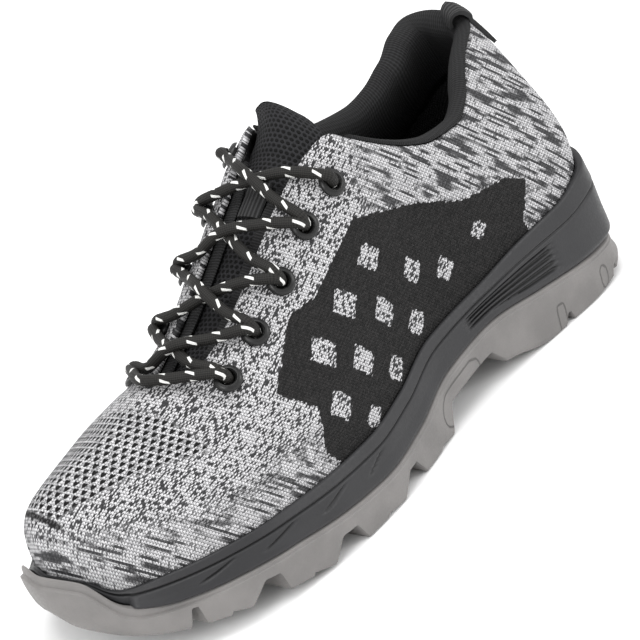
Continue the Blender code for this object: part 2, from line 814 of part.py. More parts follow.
def tongue_section(place, low, arch, forward):
    """Row across the tongue: under each eyestay, then arched over the opening"""
    depth = UPPER_WALL + TRIM_GAP + TRIM_THICKNESS + 3 * GAP
    if place < THROAT_FRONT:
        ups = [low + (0.999 - low) * i / 5 for i in range(6)]
        left, right = ([upper_inside(side * place, up, depth) for up in ups] for side in (1, -1))
        return left[:-1] + [(left[-1] + right[-1]) / 2] + right[-2::-1]
    sides = []
    for side in (1, -1):
        at = side * place
        under = [upper_inside(at, up, depth) for up in (low, (1 + 2 * low) / 3, (2 + low) / 3)]
        sides.append([spot + forward for spot in under])
    left, right = sides
    edge = [upper_inside(side * place, 1.0, depth) + forward for side in (1, -1)]
    crown = [edge[0].lerp(edge[1], share) for share in (0.04, 0.27, 0.5, 0.73, 0.96)]
    bend = (0.0, 0.7, 1.0, 0.7, 0.0)
    crown = [spot + THROAT_RISE * arch * b for spot, b in zip(crown, bend)]
    return left + crown + right[::-1]


def build_tongue():
    """Padded mesh tongue, from under the vamp to above the throat"""
    skin = Skin()
    tops, bottoms = [], []
    for at, low, arch, thick, past in TONGUE_ROWS:
        forward = Vector((-math.cos(TONGUE_LEAN), 0.0, math.sin(TONGUE_LEAN))) * past * TONGUE_PAST
        row = tongue_section(at, low, arch * TONGUE_ARCH, forward)
        if past > 0:
            hold = row[0].lerp(row[-1], TONGUE_HOLD)
            squeeze = 1.0 - 0.12 * fade(past, 0.0, 0.4) - 0.26 * past ** 4
            shift = Vector((0.0, -TONGUE_SHIFT * past ** 4, 0.0))
            row = [hold + (spot - hold) * squeeze + shift for spot in row]
        count = len(row)
        edge = [math.sin(math.pi * (i + 0.6) / (count + 0.2)) ** 0.5 for i in range(count)]
        tops.append(row)
        bottoms.append([spot - THROAT_RISE * TONGUE_THICKNESS * thick * e for spot, e in zip(row, edge)])
    sections = [top + bottom[::-1] for top, bottom in zip(tops, bottoms)]
    closed_band(sections, skin)
    mesh = finish_material("black air mesh", (0.020, 0.020, 0.021), 0.95)
    return skin.finish("tongue", mesh, sharp=70.0)


def build_tongue_loop():
    """Flat webbing keeper across the middle of the tongue"""
    skin = Skin()
    sections = []
    for at, low, arch, *_ in TONGUE_ROWS[6:8]:
        row = tongue_section(at, low, arch * TONGUE_ARCH, Vector())[4:7]
        under = [spot + THROAT_RISE * GAP for spot in row]
        over = [spot + THROAT_RISE * (GAP + LOOP_THICKNESS) for spot in row]
        sections.append(under + over[::-1])
    closed_band(sections, skin)
    black = finish_material("keeper webbing", (0.022, 0.022, 0.023), 0.8)
    return skin.finish("tongue_loop", black)


# Heel tab


def build_heel_tab():
    """Webbing strap up the back of the heel, looped over the cuff"""
    skin = Skin()
    sections = []
    climb = UP_STEPS[5:]
    for place in TAB_PLACES:
        outer = [upper_inside(place, up, -GAP - TAB_THICKNESS) for up in climb]
        inner = [upper_inside(place, up, -GAP) for up in climb]
        top = upper_point(place, 1.0)
        away = upper_normal(place, 1.0)
        rise = top_run(place)
        crest = CUFF_ROLL * 1.1 + GAP
        loop = (
            (0.55 * crest, 0.0012, 0.0030),
            (crest + 0.0014, 0.0008, 0.0026),
            (crest + 0.0034, -0.0008, 0.0004),
            (crest + 0.0030, -0.0036, -0.0032),
            (crest + 0.0004, -0.0050, -0.0066),
        )
        for height, near, out in loop:
            over = TAB_THICKNESS if height > crest + 0.002 else 0.0
            inner.append(top + rise * height + away * near)
            outer.append(top + rise * (height + over) + away * out)
        sections.append(outer + inner[::-1])
    closed_band(sections, skin)
    black = finish_material("tab webbing", (0.018, 0.018, 0.019), 0.8)
    return skin.finish("heel_tab", black)


# Eyelets and lace


def on_upper(x, across):
    """Place and height on the outer face over a point in plan, across from the throat's middle line"""
    side = 1 if across > 0 else -1
    middle = share_to_plan(0.0, THROAT_MIDDLE).y

    def up_at(place):
        low, high = 0.3, 1.0
        for _ in range(30):
            up = (low + high) / 2
            if abs(upper_point(place, up).y - middle) > abs(across):
                low = up
            else:
                high = up
        return (low + high) / 2

    near, far = 5.0, THROAT_TOP + 0.6
    for _ in range(30):
        place = (near + far) / 2
        if upper_point(side * place, up_at(side * place)).x > x:
            near = place
        else:
            far = place
    place = side * (near + far) / 2
    return place, up_at(place)


def eyelet_seats():
    """Places of the eyelets as (side, number, place, up)"""
    seats = []
    for side, half in (("outer", EYELET_HALF), ("inner", -EYELET_INNER_HALF)):
        for number in range(EYELET_COUNT):
            x = EYELET_FIRST - number * EYELET_PITCH
            seats.append((side, number, *on_upper(x, half)))
    return seats


def seat_lift(place, up):
    """How far the flange stands off a point of the knit, to clear the knit all round"""
    centre = upper_point(place, up)
    away = upper_normal(place, up)
    high = 0.0
    for i in range(-6, 7):
        for j in range(-6, 7):
            spot = upper_point(place + i * 0.1, min(up + j * 0.02, 1.0)) - centre
            rise = spot.dot(away)
            if (spot - away * rise).length < EYELET_OUTER / 2 + FLANGE_MARGIN:
                high = max(high, rise)
    return high + EYELET_REST


def seat_matrix(place, up):
    spot = upper_point(place, up)
    away = upper_normal(place, up)
    turn = away.to_track_quat("Z", "X").to_matrix().to_4x4()
    turn.translation = spot
    return turn


def pierce(piece, seats):
    """Cut the eyelet holes through a piece"""
    for side, number, place, up in seats:
        cutter_mesh = bmesh.new()
        bmesh.ops.create_cone(
            cutter_mesh,
            cap_ends=True,
            segments=EYELET_SIDES,
            radius1=EYELET_BARREL / 2 + GAP,
            radius2=EYELET_BARREL / 2 + GAP,
            depth=CUTTER_LENGTH,
        )
        data = bpy.data.meshes.new("eyelet cutter")
        cutter_mesh.to_mesh(data)
        cutter_mesh.free()
        cutter = bpy.data.objects.new(f"cut_{piece.name}_{side}_{number}", data)
        bpy.context.scene.collection.objects.link(cutter)
        cutter.matrix_world = seat_matrix(place, up)
        cutter.hide_render = True
        cutter.display_type = "WIRE"
        cut = piece.modifiers.new(f"hole {side} {number}", "BOOLEAN")
        cut.operation = "DIFFERENCE"
        cut.object = cutter


def build_eyelet(side, number, place, up, material):
    """Turned ring: a flange on the knit, a barrel through it, and a rolled end behind the trim"""
    bore, barrel, outer = EYELET_BORE / 2, EYELET_BARREL / 2, EYELET_OUTER / 2
    back = -(UPPER_WALL + TRIM_GAP + TRIM_THICKNESS)
    seat = seat_lift(place, up)
    profile = [
        (bore, back),
        (bore, seat + EYELET_PROUD * 0.5),
        ((bore + outer) / 2, seat + EYELET_PROUD),
        (outer, seat + EYELET_PROUD * 0.35),
        (outer, seat),
        (barrel, seat),
        (barrel, back),
    ]
    mesh = bmesh.new()
    verts = [mesh.verts.new((radius, 0.0, height)) for radius, height in profile]
    edges = [mesh.edges.new(pair) for pair in zip(verts, verts[1:] + verts[:1])]
    bmesh.ops.spin(
        mesh,
        geom=verts + edges,
        cent=(0, 0, 0),
        axis=(0, 0, 1),
        angle=math.tau,
        steps=EYELET_SIDES,
        use_merge=True,
    )
    bmesh.ops.recalc_face_normals(mesh, faces=mesh.faces)
    data = bpy.data.meshes.new(f"eyelet_{side}_{number + 1}")
    mesh.to_mesh(data)
    mesh.free()
    data.shade_smooth()
    data.set_sharp_from_angle(angle=math.radians(50))
    piece = add_object(f"eyelet_{side}_{number + 1}", data, material)
    piece.matrix_world = seat_matrix(place, up)
    return piece


def lace_run(seats, start, end):
    """Points of one run of lace from eyelet to eyelet, over both throat edges"""
    clear = THROAT_RISE * (LACE_DIAMETER / 2 + 4 * GAP)
    ends, aways = [], []
    for seat in (start, end):
        place, up = seats[seat]
        lift = seat_lift(place, up) + EYELET_PROUD + GAP + LACE_DIAMETER / 2
        aways.append(upper_normal(place, up))
        ends.append(upper_point(place, up) + aways[-1] * lift)
    if start[1] == end[1]:
        middle = [upper_point(THROAT_FRONT - 0.3, 1.0) + clear]
    else:
        over = []
        for here, there in ((start, end), (end, start)):
            place, other = seats[here][0], seats[there][0]
            at = max(abs(place) + (abs(other) - abs(place)) * 0.22, THROAT_FRONT + 0.45)
            over.append(upper_point(math.copysign(at, place), 1.0) + clear)
        middle = [over[0], (over[0] + over[1]) / 2 + THROAT_RISE * LACE_CROWN, over[1]]
    leave = []
    for spot, away, goal in ((ends[0], aways[0], middle[0]), (ends[1], aways[1], middle[-1])):
        run = goal - spot
        run -= away * run.dot(away)
        leave.append(spot + run.normalized() * (EYELET_OUTER / 2 + FLANGE_MARGIN))
    return [ends[0], leave[0], *middle, leave[1], ends[1]]


def smooth_line(points, count):
    """Points along a smooth curve through the given ones"""
    ends = [points[0] * 2 - points[1]] + points + [points[-1] * 2 - points[-2]]
    line = []
    for i in range(count + 1):
        at = (len(points) - 1) * i / count
        j = min(int(at), len(points) - 2)
        s = at - j
        a, b, c, d = ends[j:j + 4]
        cubic = (a * 2 - b * 5 + c * 4 - d) * s * s + (b * 3 - a - c * 3 + d) * s ** 3
        line.append(b + ((c - a) * s + cubic) / 2)
    return line


def lace_tube(name, points):
    """Round tube along a smooth line, with a flat face on each end"""
    skin = Skin()
    line = smooth_line(points, LACE_STEPS)
    rings = []
    for i, spot in enumerate(line):
        ahead = (line[min(i + 1, LACE_STEPS)] - line[max(i - 1, 0)]).normalized()
        beside = ahead.cross(THROAT_RISE).normalized()
        over = beside.cross(ahead)
        ring = []
        for k in range(LACE_SIDES):
            turn = math.tau * (k + 0.5) / LACE_SIDES
            ring.append(spot + (beside * math.cos(turn) + over * math.sin(turn)) * LACE_DIAMETER / 2)
        rings.append(ring)
    skin.rows(rings, closed=True)
    for end in (rings[0], rings[-1]):
        skin.face(end)
    return skin.finish(name, finish_material(f"{name} cord", (0.030, 0.030, 0.030), 0.8))


def build_lace(eyelets):
    """Straight bar at the toe end, then a crossing between each two pairs, joined into one solid"""
    seats = {(side, number): (place, up) for side, number, place, up in eyelets}
    runs = []
    for number in range(EYELET_COUNT - 1):
        runs.append((("outer", number), ("inner", number + 1)))
        runs.append((("inner", number), ("outer", number + 1)))
    lace = lace_tube("lace", lace_run(seats, ("outer", 0), ("inner", 0)))
    for i, run in enumerate(runs):
        tube = lace_tube(f"lace_run_{i + 1}", lace_run(seats, *run))
        tube.hide_render = True
        tube.display_type = "WIRE"
        join = lace.modifiers.new(tube.name, "BOOLEAN")
        join.operation = "UNION"
        join.object = tube


for old in list(bpy.data.objects):
    bpy.data.objects.remove(old, do_unlink=True)

build_outsole()
build_midsole()
build_insole()
upper = build_upper()
trim = build_throat_trim()
build_cuff()
build_tongue()
build_tongue_loop()
build_heel_tab()
eyelet_places = eyelet_seats()
pierce(upper, eyelet_places)
pierce(trim, eyelet_places)
black_enamel = finish_material("black enamel", (0.020, 0.020, 0.020), 0.35)
for eyelet_side, eyelet_number, eyelet_place, eyelet_up in eyelet_places:
    build_eyelet(eyelet_side, eyelet_number, eyelet_place, eyelet_up, black_enamel)
build_lace(eyelet_places)
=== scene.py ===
import bisect
import math

import bmesh
import bpy
from mathutils import Matrix, Vector


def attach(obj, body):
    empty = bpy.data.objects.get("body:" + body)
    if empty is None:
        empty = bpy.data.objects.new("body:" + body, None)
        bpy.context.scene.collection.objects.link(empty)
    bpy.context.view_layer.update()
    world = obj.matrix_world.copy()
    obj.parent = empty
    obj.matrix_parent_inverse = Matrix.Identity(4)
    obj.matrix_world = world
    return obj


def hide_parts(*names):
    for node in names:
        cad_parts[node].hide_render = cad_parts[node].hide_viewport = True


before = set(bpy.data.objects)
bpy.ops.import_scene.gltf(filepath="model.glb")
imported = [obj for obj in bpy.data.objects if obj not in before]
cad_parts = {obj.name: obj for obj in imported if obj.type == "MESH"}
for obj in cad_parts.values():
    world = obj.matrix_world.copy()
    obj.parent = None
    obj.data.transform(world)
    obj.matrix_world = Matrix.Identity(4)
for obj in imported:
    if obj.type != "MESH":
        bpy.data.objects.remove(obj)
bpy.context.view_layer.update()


# Outsole: one grey rubber moulding with a toe bumper, deep side lugs and a heel block. It is moulded onto the
# foam above it, and three ovals are moulded in each side.
# Millimetres in a metre
MM = 1000
LENGTH = 0.2975
BALL_WIDTH = 0.107
RIM_HEIGHT = 0.050
TOE_SPRING = 0.020
HEEL_FLARE = 0.0025
BUMPER_WALL = 0.0034
LIP_STEP = 0.0009
LIP_DROP = 0.0042
LIP_FOOT = 1.05
BUMPER_CREST = 0.0030
BUMPER_TURN = 0.6
LUG_STEP = 0.0012
TOE_ROLL = 0.0035
TOE_INNER_ROLL = 0.0065
CHANNEL_WIDTH = 0.012
ROWS = 15

# One row for each section of the sole, toe to heel. along is a share of LENGTH from the heel, lateral and
# medial are shares of BALL_WIDTH, rim, split, web and bed are shares of RIM_HEIGHT, tread is a share of
# TOE_SPRING.
SOLE_COLUMNS = ("along", "lateral", "medial", "rim", "split", "web", "bed", "tread")
SOLE_ROWS = (
    (1.000, -0.010, -0.010, 0.730, 0.700, 0.460, 0.570, 0.900),
    (0.985, 0.119, -0.130, 0.667, 0.640, 0.430, 0.550, 0.680),
    (0.960, 0.226, -0.225, 0.552, 0.450, 0.370, 0.515, 0.500),
    (0.917, 0.346, -0.322, 0.582, 0.392, 0.325, 0.470, 0.430),
    (0.855, 0.442, -0.405, 0.595, 0.385, 0.280, 0.425, 0.320),
    (0.780, 0.495, -0.458, 0.590, 0.362, 0.230, 0.375, 0.180),
    (0.689, 0.510, -0.470, 0.575, 0.305, 0.160, 0.340, 0.000),
    (0.592, 0.492, -0.419, 0.565, 0.270, 0.150, 0.350, 0.000),
    (0.504, 0.442, -0.351, 0.605, 0.315, 0.165, 0.390, 0.000),
    (0.410, 0.383, -0.319, 0.715, 0.440, 0.230, 0.450, 0.000),
    (0.306, 0.360, -0.333, 0.745, 0.485, 0.280, 0.500, 0.300),
    (0.211, 0.360, -0.348, 0.810, 0.415, 0.170, 0.530, 0.000),
    (0.124, 0.358, -0.342, 0.840, 0.350, 0.150, 0.550, 0.000),
    (0.055, 0.328, -0.300, 0.930, 0.320, 0.160, 0.560, 0.060),
    (0.013, 0.214, -0.170, 0.980, 0.310, 0.180, 0.565, 0.200),
    (0.000, 0.005, 0.005, 1.000, 0.310, 0.200, 0.570, 0.300),
)
MIDDLE = 0.020

# Gaps between the lugs, as shares of LENGTH from the heel: back end, front end, slope at each end, and how
# far up to the web each one goes
NOTCHES = (
    (0.044, 0.062, 0.006, 0.006, 0.5),
    (0.160, 0.178, 0.006, 0.006, 0.5),
    (0.300, 0.437, 0.024, 0.012, 1.0),
    (0.518, 0.579, 0.019, 0.023, 1.0),
    (0.660, 0.723, 0.015, 0.021, 1.0),
    (0.796, 0.847, 0.008, 0.022, 1.0),
    (0.899, 0.914, 0.004, 0.004, 1.0),
)
# Back and front end of each lug that has a small step
LUG_ENDS = [(behind[1], ahead[0]) for behind, ahead in zip(NOTCHES[2:-1], NOTCHES[3:])]
# Ovals in the side: back and front end as shares of LENGTH, low and high end as shares of the side's height
OVALS = ((0.078, 0.094, 0.05, 0.62), (0.176, 0.192, -0.4, 0.55), (0.352, 0.452, 0.16, 0.80))
# Lip of the side, inside to outside: distance in from the outline in m and times the lip's own step, and
# depth below its top in m and times the lip's drop
LIP_SECTION = (
    (0.0014, 1, 0.0001, 0.0), (0.0007, 1, 0.0004, 0.0), (0.0004, 1, 0.0, 0.3), (0.0004, 1, 0.0, 0.76),
    (0.0, 0, 0.0, 0.93), (0.0, 0, 0.0, LIP_FOOT),
)
# Usual height of the side in mm, and the distance stored where no oval is near
SIDE_TALL = 18.0
FAR_OFF = 9.0


def smooth_columns(rows, names, first):
    """Monotone cubic through each column of a table; its knots are the first column or the row numbers"""
    knots = [row[0] for row in rows] if first else [float(i) for i in range(len(rows))]
    curves = {}
    for column, name in enumerate(names):
        values = [row[column] for row in rows]
        rises = [(values[i + 1] - values[i]) / (knots[i + 1] - knots[i]) for i in range(len(knots) - 1)]
        slopes = [0.0] * len(knots)
        for i in range(1, len(rises)):
            before, after = rises[i - 1], rises[i]
            if before * after > 0:
                slopes[i] = 2 * before * after / (before + after)
        curves[name] = (knots, values, slopes)
    return curves


def steps(start, end, count):
    return [start + (end - start) * i / count for i in range(count + 1)]


def flip(rows):
    return [list(column) for column in zip(*rows)]


def both_sides(places):
    """Places of the outer side, and then the same ones of the inner side back to the start"""
    return places + [-place for place in reversed(places[:-1])]


def read_curve(curve, at):
    knots, values, slopes = curve
    at = min(max(at, knots[0]), knots[-1])
    i = min(bisect.bisect_right(knots, at), len(knots) - 1) - 1
    span = knots[i + 1] - knots[i]
    s = (at - knots[i]) / span
    return (
        values[i] * (1 + 2 * s) * (1 - s) ** 2
        + slopes[i] * span * s * (1 - s) ** 2
        + values[i + 1] * s * s * (3 - 2 * s)
        + slopes[i + 1] * span * s * s * (s - 1)
    )


SOLE = smooth_columns(SOLE_ROWS, SOLE_COLUMNS, False)
for end, beside in ((0, 1), (-1, -2)):
    outer_curve, inner_curve = SOLE["lateral"], SOLE["medial"]
    lead = outer_curve[1][beside] - outer_curve[1][end]
    trail = inner_curve[1][beside] - inner_curve[1][end]
    turn = (lead - trail) / 2 / (outer_curve[0][beside] - outer_curve[0][end])
    outer_curve[2][end] = turn
    inner_curve[2][end] = -turn


def fade(value, start, end):
    s = min(max((value - start) / (end - start), 0.0), 1.0)
    return s * s * (3 - 2 * s)


def bumper_place(place):
    """Place counted from the bumper's crest, which stands a little to the inner side of the toe"""
    at = abs(place)
    if place >= 0:
        return at
    return max(at - BUMPER_TURN * (1 - fade(at, 2.5, 5.0)), 0.0)


def sole(name, place):
    return read_curve(SOLE[name], bumper_place(place) if name in ("rim", "split") else abs(place))


def share_to_plan(along, across):
    return Vector(((along - 0.5) * LENGTH + HEEL_FLARE / 2, (across - MIDDLE) * BALL_WIDTH, 0.0))


def wrap(place):
    return (place + ROWS) % (2 * ROWS) - ROWS if abs(place) > ROWS else place


def outline(place):
    return share_to_plan(sole("along", place), sole("lateral" if place >= 0 else "medial", place))


def outward(place):
    run = outline(wrap(place + 0.02)) - outline(wrap(place - 0.02))
    return Vector((run.y, -run.x, 0.0)).normalized()


def level(name, place):
    return sole(name, place) * (TOE_SPRING if name == "tread" else RIM_HEIGHT)


def inset(place, distance, height):
    spot = outline(place) - outward(place) * distance
    spot.z = height
    return spot


def place_of(along):
    """Place on the outer side whose section lies at a share of LENGTH"""
    low, high = 0.0, float(ROWS)
    for _ in range(30):
        middle = (low + high) / 2
        low, high = (middle, high) if sole("along", middle) > along else (low, middle)
    return (low + high) / 2


def tread_height(place):
    """Underside at the edge, with the gaps between the lugs and the small step in each lug"""
    along = sole("along", place)
    lift = 0.0
    for back, front, back_slope, front_slope, share in NOTCHES:
        if back < along < front:
            lift = share * min(1.0, (along - back) / back_slope, (front - along) / front_slope)
    foot = level("tread", place)
    step = 0.0
    for start, end in LUG_ENDS:
        middle = (start + end) / 2
        if start < along <= middle:
            step = LUG_STEP * (along - start) / (middle - start)
    return foot + step + lift * (level("web", place) - foot)


def lay_surface(points, marks=None, fields=None):
    """A grid moved onto rows of points. marks gives each point's pattern place in mm, fields its values."""
    wide, high = len(points[0]), len(points)
    mesh = bmesh.new()
    bmesh.ops.create_grid(mesh, x_segments=wide - 1, y_segments=high - 1, size=0.5)
    mesh.verts.ensure_lookup_table()
    pattern = mesh.loops.layers.uv.new("pattern")
    layers = {name: mesh.verts.layers.float.new(name) for name in (fields or {})}
    for vert in mesh.verts:
        row, column = divmod(vert.index, wide)
        vert.co = points[row][column]
        for name, layer in layers.items():
            vert[layer] = fields[name][row][column]
    if marks:
        for face in mesh.faces:
            for loop in face.loops:
                row, column = divmod(loop.vert.index, wide)
                loop[pattern].uv = marks[row][column]
    return mesh


def close_surface(mesh, weld=2e-6, fill=True):
    """Merge seams and poles, close open ends, and turn the faces outwards"""
    bmesh.ops.remove_doubles(mesh, verts=mesh.verts, dist=weld)
    bmesh.ops.dissolve_degenerate(mesh, edges=mesh.edges, dist=1e-7)
    if fill:
        rim = [edge for edge in mesh.edges if len(edge.link_faces) == 1]
        if rim:
            bmesh.ops.holes_fill(mesh, edges=rim, sides=0)
    bmesh.ops.recalc_face_normals(mesh, faces=mesh.faces)


def piece_from(mesh, name, slot, nodes, *materials, sharp=None):
    """Object for a finished mesh, riding on the shoe and standing for its CAD nodes"""
    data = bpy.data.meshes.new(name)
    mesh.to_mesh(data)
    mesh.free()
    data.shade_smooth()
    if sharp:
        data.set_sharp_from_angle(angle=math.radians(sharp))
    piece = bpy.data.objects.new(name, data)
    bpy.context.scene.collection.objects.link(piece)
    for material in materials:
        data.materials.append(material)
    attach(piece, "root")
    if nodes:
        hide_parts(*nodes)
    return piece


def pour(source, target):
    """Add a mesh to another one and free it"""
    carrier = bpy.data.meshes.new("carrier")
    source.to_mesh(carrier)
    source.free()
    target.from_mesh(carrier)
    bpy.data.meshes.remove(carrier)


class Value:
    """Result of a node, with the usual signs for more nodes that do arithmetic on it"""

    def __init__(self, finish, socket):
        self.finish = finish
        self.socket = socket

    def math(self, operation, *others):
        return self.finish.calc(operation, self, *others)

    def __add__(self, other):
        return self.math("ADD", other)

    def __sub__(self, other):
        return self.math("SUBTRACT", other)

    def __rsub__(self, other):
        return self.finish.calc("SUBTRACT", other, self)

    def __mul__(self, other):
        return self.math("MULTIPLY", other)

    def __truediv__(self, other):
        return self.math("DIVIDE", other)


class Finish:
    """A material's node tree, with short calls for the nodes that its pattern needs"""

    def __init__(self, name):
        self.material = bpy.data.materials.new(name)
        self.material.use_nodes = True
        self.tree = self.material.node_tree
        self.shader = self.tree.nodes["Principled BSDF"]

    def add(self, kind, inputs, **settings):
        made = self.tree.nodes.new(kind)
        for name, value in settings.items():
            setattr(made, name, value)
        for slot, value in inputs.items():
            self.put(made.inputs[slot], value)
        return made

    def read(self, kind, inputs, output=0, **settings):
        return Value(self, self.add(kind, inputs, **settings).outputs[output])

    def put(self, socket, value):
        if isinstance(value, Value):
            self.tree.links.new(value.socket, socket)
        else:
            socket.default_value = value

    def calc(self, operation, *values):
        return self.read("ShaderNodeMath", dict(enumerate(values)), operation=operation)

    def field(self, name):
        return self.read("ShaderNodeAttribute", {}, "Fac", attribute_name=name)

    def pattern(self):
        """Pattern place in mm, as its two parts"""
        flat = self.read("ShaderNodeUVMap", {}, uv_map="pattern")
        parts = self.add("ShaderNodeSeparateXYZ", {0: flat})
        return Value(self, parts.outputs[0]), Value(self, parts.outputs[1])

    def place(self):
        return self.read("ShaderNodeTexCoord", {}, "Object")

    def join(self, x, y):
        return self.read("ShaderNodeCombineXYZ", {0: x, 1: y})

    def speckle(self, vector):
        """A different value from 0 to 1 for each whole-number place"""
        return self.read("ShaderNodeTexWhiteNoise", {"Vector": vector}, "Value", noise_dimensions="3D")

    def cloud(self, vector, scale, detail=2.0, roughness=0.5):
        made = {"Vector": vector, "Scale": scale, "Detail": detail, "Roughness": roughness}
        return self.read("ShaderNodeTexNoise", made, "Fac")

    def ramp(self, value, low, high, to_low=0.0, to_high=1.0):
        made = {"Value": value, "From Min": low, "From Max": high, "To Min": to_low, "To Max": to_high}
        return self.read("ShaderNodeMapRange", made, interpolation_type="SMOOTHSTEP")

    def mix(self, share, first, second):
        made = self.add("ShaderNodeMix", {"Factor": share}, data_type="RGBA")
        for slot, color in (("A", first), ("B", second)):
            self.put(made.inputs[slot], (*color, 1.0) if isinstance(color, tuple) else color)
        return Value(self, made.outputs["Result"])

    def bump(self, height, distance, strength=1.0):
        made = {"Height": height, "Distance": distance, "Strength": strength}
        self.put(self.shader.inputs["Normal"], self.read("ShaderNodeBump", made))

    def color(self, value):
        self.put(self.shader.inputs["Base Color"], value)

    def set(self, **sockets):
        for name, value in sockets.items():
            self.put(self.shader.inputs[name.replace("_", " ")], value)


def length_marks(points):
    """Running length in mm along each row of points"""
    marks = []
    for row in points:
        run = 0.0
        line = [0.0]
        for before, after in zip(row, row[1:]):
            run += (after - before).length * MM
            line.append(run)
        marks.append(line)
    return marks


def wall_marks(rows):
    """Pattern places on a wall: running length along each row, and height"""
    run_rows = length_marks(rows)
    return [[(run, spot.z * MM) for run, spot in zip(runs, row)] for runs, row in zip(run_rows, rows)]


def plan_marks(rows):
    return [[(spot.x * MM, spot.y * MM) for spot in row] for row in rows]


notch_ends = []
for back_end, front_end, back_slope, front_slope, _ in NOTCHES:
    for corner in (back_end, back_end + back_slope, front_end - front_slope, front_end):
        notch_ends += [place_of(corner - 0.0012), place_of(corner + 0.0012)]
for lug_start, lug_end in LUG_ENDS:
    lug_middle = (lug_start + lug_end) / 2
    notch_ends += [place_of(lug_middle), place_of(lug_middle + 0.003)]
half_round = sorted(set(steps(0, ROWS, 120) + notch_ends))
full_round = both_sides(half_round)


def crest(place):
    """How far the bumper's outer edge stands above the split at the toe"""
    return BUMPER_CREST * (1 - fade(bumper_place(place), 0.8, 2.2))


def outsole_side(place):
    """Section of the outsole from its inner rim, over the edge, down to the foot of the lugs"""
    at = abs(place)
    split = level("split", place)
    top = split + crest(place)
    lip = LIP_STEP * (1 - fade(at, 3.0, 4.0))
    drop = LIP_DROP * (1 - 0.45 * fade(at, 2.0, 3.0))
    roll = (TOE_ROLL + TOE_INNER_ROLL * fade(-place, -0.6, 0.8)) * (1 - fade(at, 1.6, 3.2))
    flare = HEEL_FLARE * fade(at, 12.0, 14.5)
    foot = tread_height(place)
    low = foot + 0.4 * (top - drop - foot)
    section = [
        inset(place, BUMPER_WALL + 0.0004, split - 0.0030),
        inset(place, BUMPER_WALL, split),
        inset(place, BUMPER_WALL - 0.0008, split + 0.7 * crest(place)),
    ]
    for near, step, deep, part in LIP_SECTION:
        section.append(inset(place, near + step * lip, top - deep - part * drop))
    waist = 0.25 * roll - flare
    for share in (0.25, 0.5, 0.75, 1.0):
        height = (top - LIP_FOOT * drop) * (1 - share) + low * share
        section.append(inset(place, waist * share ** 1.5, height))
    for share in (0.35, 0.7, 0.88):
        away = waist + (0.0002 + 0.75 * roll + flare) * share ** 1.6
        section.append(inset(place, away, low + (foot + 0.0002 - low) * share))
    section.append(inset(place, 0.0006 + roll, foot + 0.0003))
    section.append(inset(place, 0.0012 + roll, foot))
    return section


def tread_row(place):
    """Across the underside from the outer edge to the inner one, with the channel along the middle"""
    lateral, medial = outsole_side(place)[-1], outsole_side(-place)[-1]
    half = CHANNEL_WIDTH / 2 / max((lateral - medial).length, 2 * CHANNEL_WIDTH)
    depth = fade(place, 2.2, 3.0) * (1 - fade(place, 12.6, 13.4))
    top = lateral.z + depth * max(level("web", place) - lateral.z, 0.0)
    shares = [0.0, 0.15, 0.3] + [0.5 - reach * half for reach in (1.36, 1.24, 1.05, 0.92, 0.0)]
    row = [lateral.lerp(medial, share) for share in shares]
    row[5].z += (top - row[5].z) * 0.94
    for spot in row[6:]:
        spot.z = top
    back = [lateral.lerp(medial, 1 - share) for share in reversed(shares[:-1])]
    back[1].z += (top - back[1].z) * 0.94
    back[0].z = top
    return row + back


def oval_distance(along, height):
    """Distance in mm from the ovals moulded in the side, less than 0 inside them"""
    nearest = FAR_OFF
    for back, front, low, high in OVALS:
        half_long = (front - back) / 2 * LENGTH * MM
        half_tall = (high - low) / 2 * SIDE_TALL
        end = min(half_long, half_tall)
        x = abs(along - (back + front) / 2) * LENGTH * MM - (half_long - end)
        y = abs(height - (low + high) / 2) * SIDE_TALL - (half_tall - end)
        nearest = min(nearest, math.hypot(max(x, 0.0), max(y, 0.0)) - end)
    return nearest


def oval_field(place, spot):
    foot = level("tread", place)
    return oval_distance(sole("along", place), (spot.z - foot) / (level("split", place) - foot))


side_points = flip([outsole_side(place) for place in full_round])
side_ovals = [[oval_field(place, spot) for place, spot in zip(full_round, row)] for row in side_points]
side_mesh = lay_surface(side_points, wall_marks(side_points), {"oval": side_ovals})
tread_points = [tread_row(place) for place in half_round]
tread_ovals = [[FAR_OFF] * len(row) for row in tread_points]
outsole_mesh = lay_surface(tread_points, plan_marks(tread_points), {"oval": tread_ovals})
pour(side_mesh, outsole_mesh)
close_surface(outsole_mesh, 1e-5)

rubber = Finish("grey moulded rubber")
rubber_place = rubber.place()
mottle = rubber.cloud(rubber_place, 60.0, 3.0)
grit = rubber.cloud(rubber_place, 1400.0, 2.0)
# off_line falls to 0 along the groove round each moulded oval, and there the rubber gets a darker colour:
# painted shade in the groove.
off_line = rubber.ramp(rubber.field("oval").math("ABSOLUTE"), 0.15, 0.50)
rubber_tone = rubber.mix(rubber.ramp(mottle, 0.3, 0.7), (0.145, 0.139, 0.135), (0.180, 0.172, 0.167))
rubber.color(rubber.mix(off_line, (0.085, 0.081, 0.078), rubber_tone))
rubber.set(Roughness=rubber.ramp(grit, 0.3, 0.7, 0.5, 0.66), Specular_IOR_Level=0.35)
rubber.bump(grit * 0.12 + off_line, 0.0004, 0.8)
piece_from(outsole_mesh, "outsole_rubber", "outsole", ["outsole"], rubber.material, sharp=32)


# Midsole: a moulded black foam cup, glued between the outsole and the knit. Its side has a smooth upper
# flange, a fine parting groove, short slanted accents by the toes and four ribs let into the heel.
RIM_INSET = 0.0048
RIM_WIDTH = 0.0010
RECESS_DEPTH = 0.0040
GAP = 0.0003
CREST_CLEARANCE = 0.0040
HEEL_SWELL = 0.0018
GROOVE_AT = 0.70
GROOVE_DEPTH = 0.0010
GROOVE_WIDTH = 0.00040
RIB_PITCH = 0.105
RIB_DEPTH = 0.0013
RIB_LOW = 0.13
RIB_HIGH = 0.60
ACCENT_DEPTH = 0.0012
ACCENT_WIDTH = 0.00042

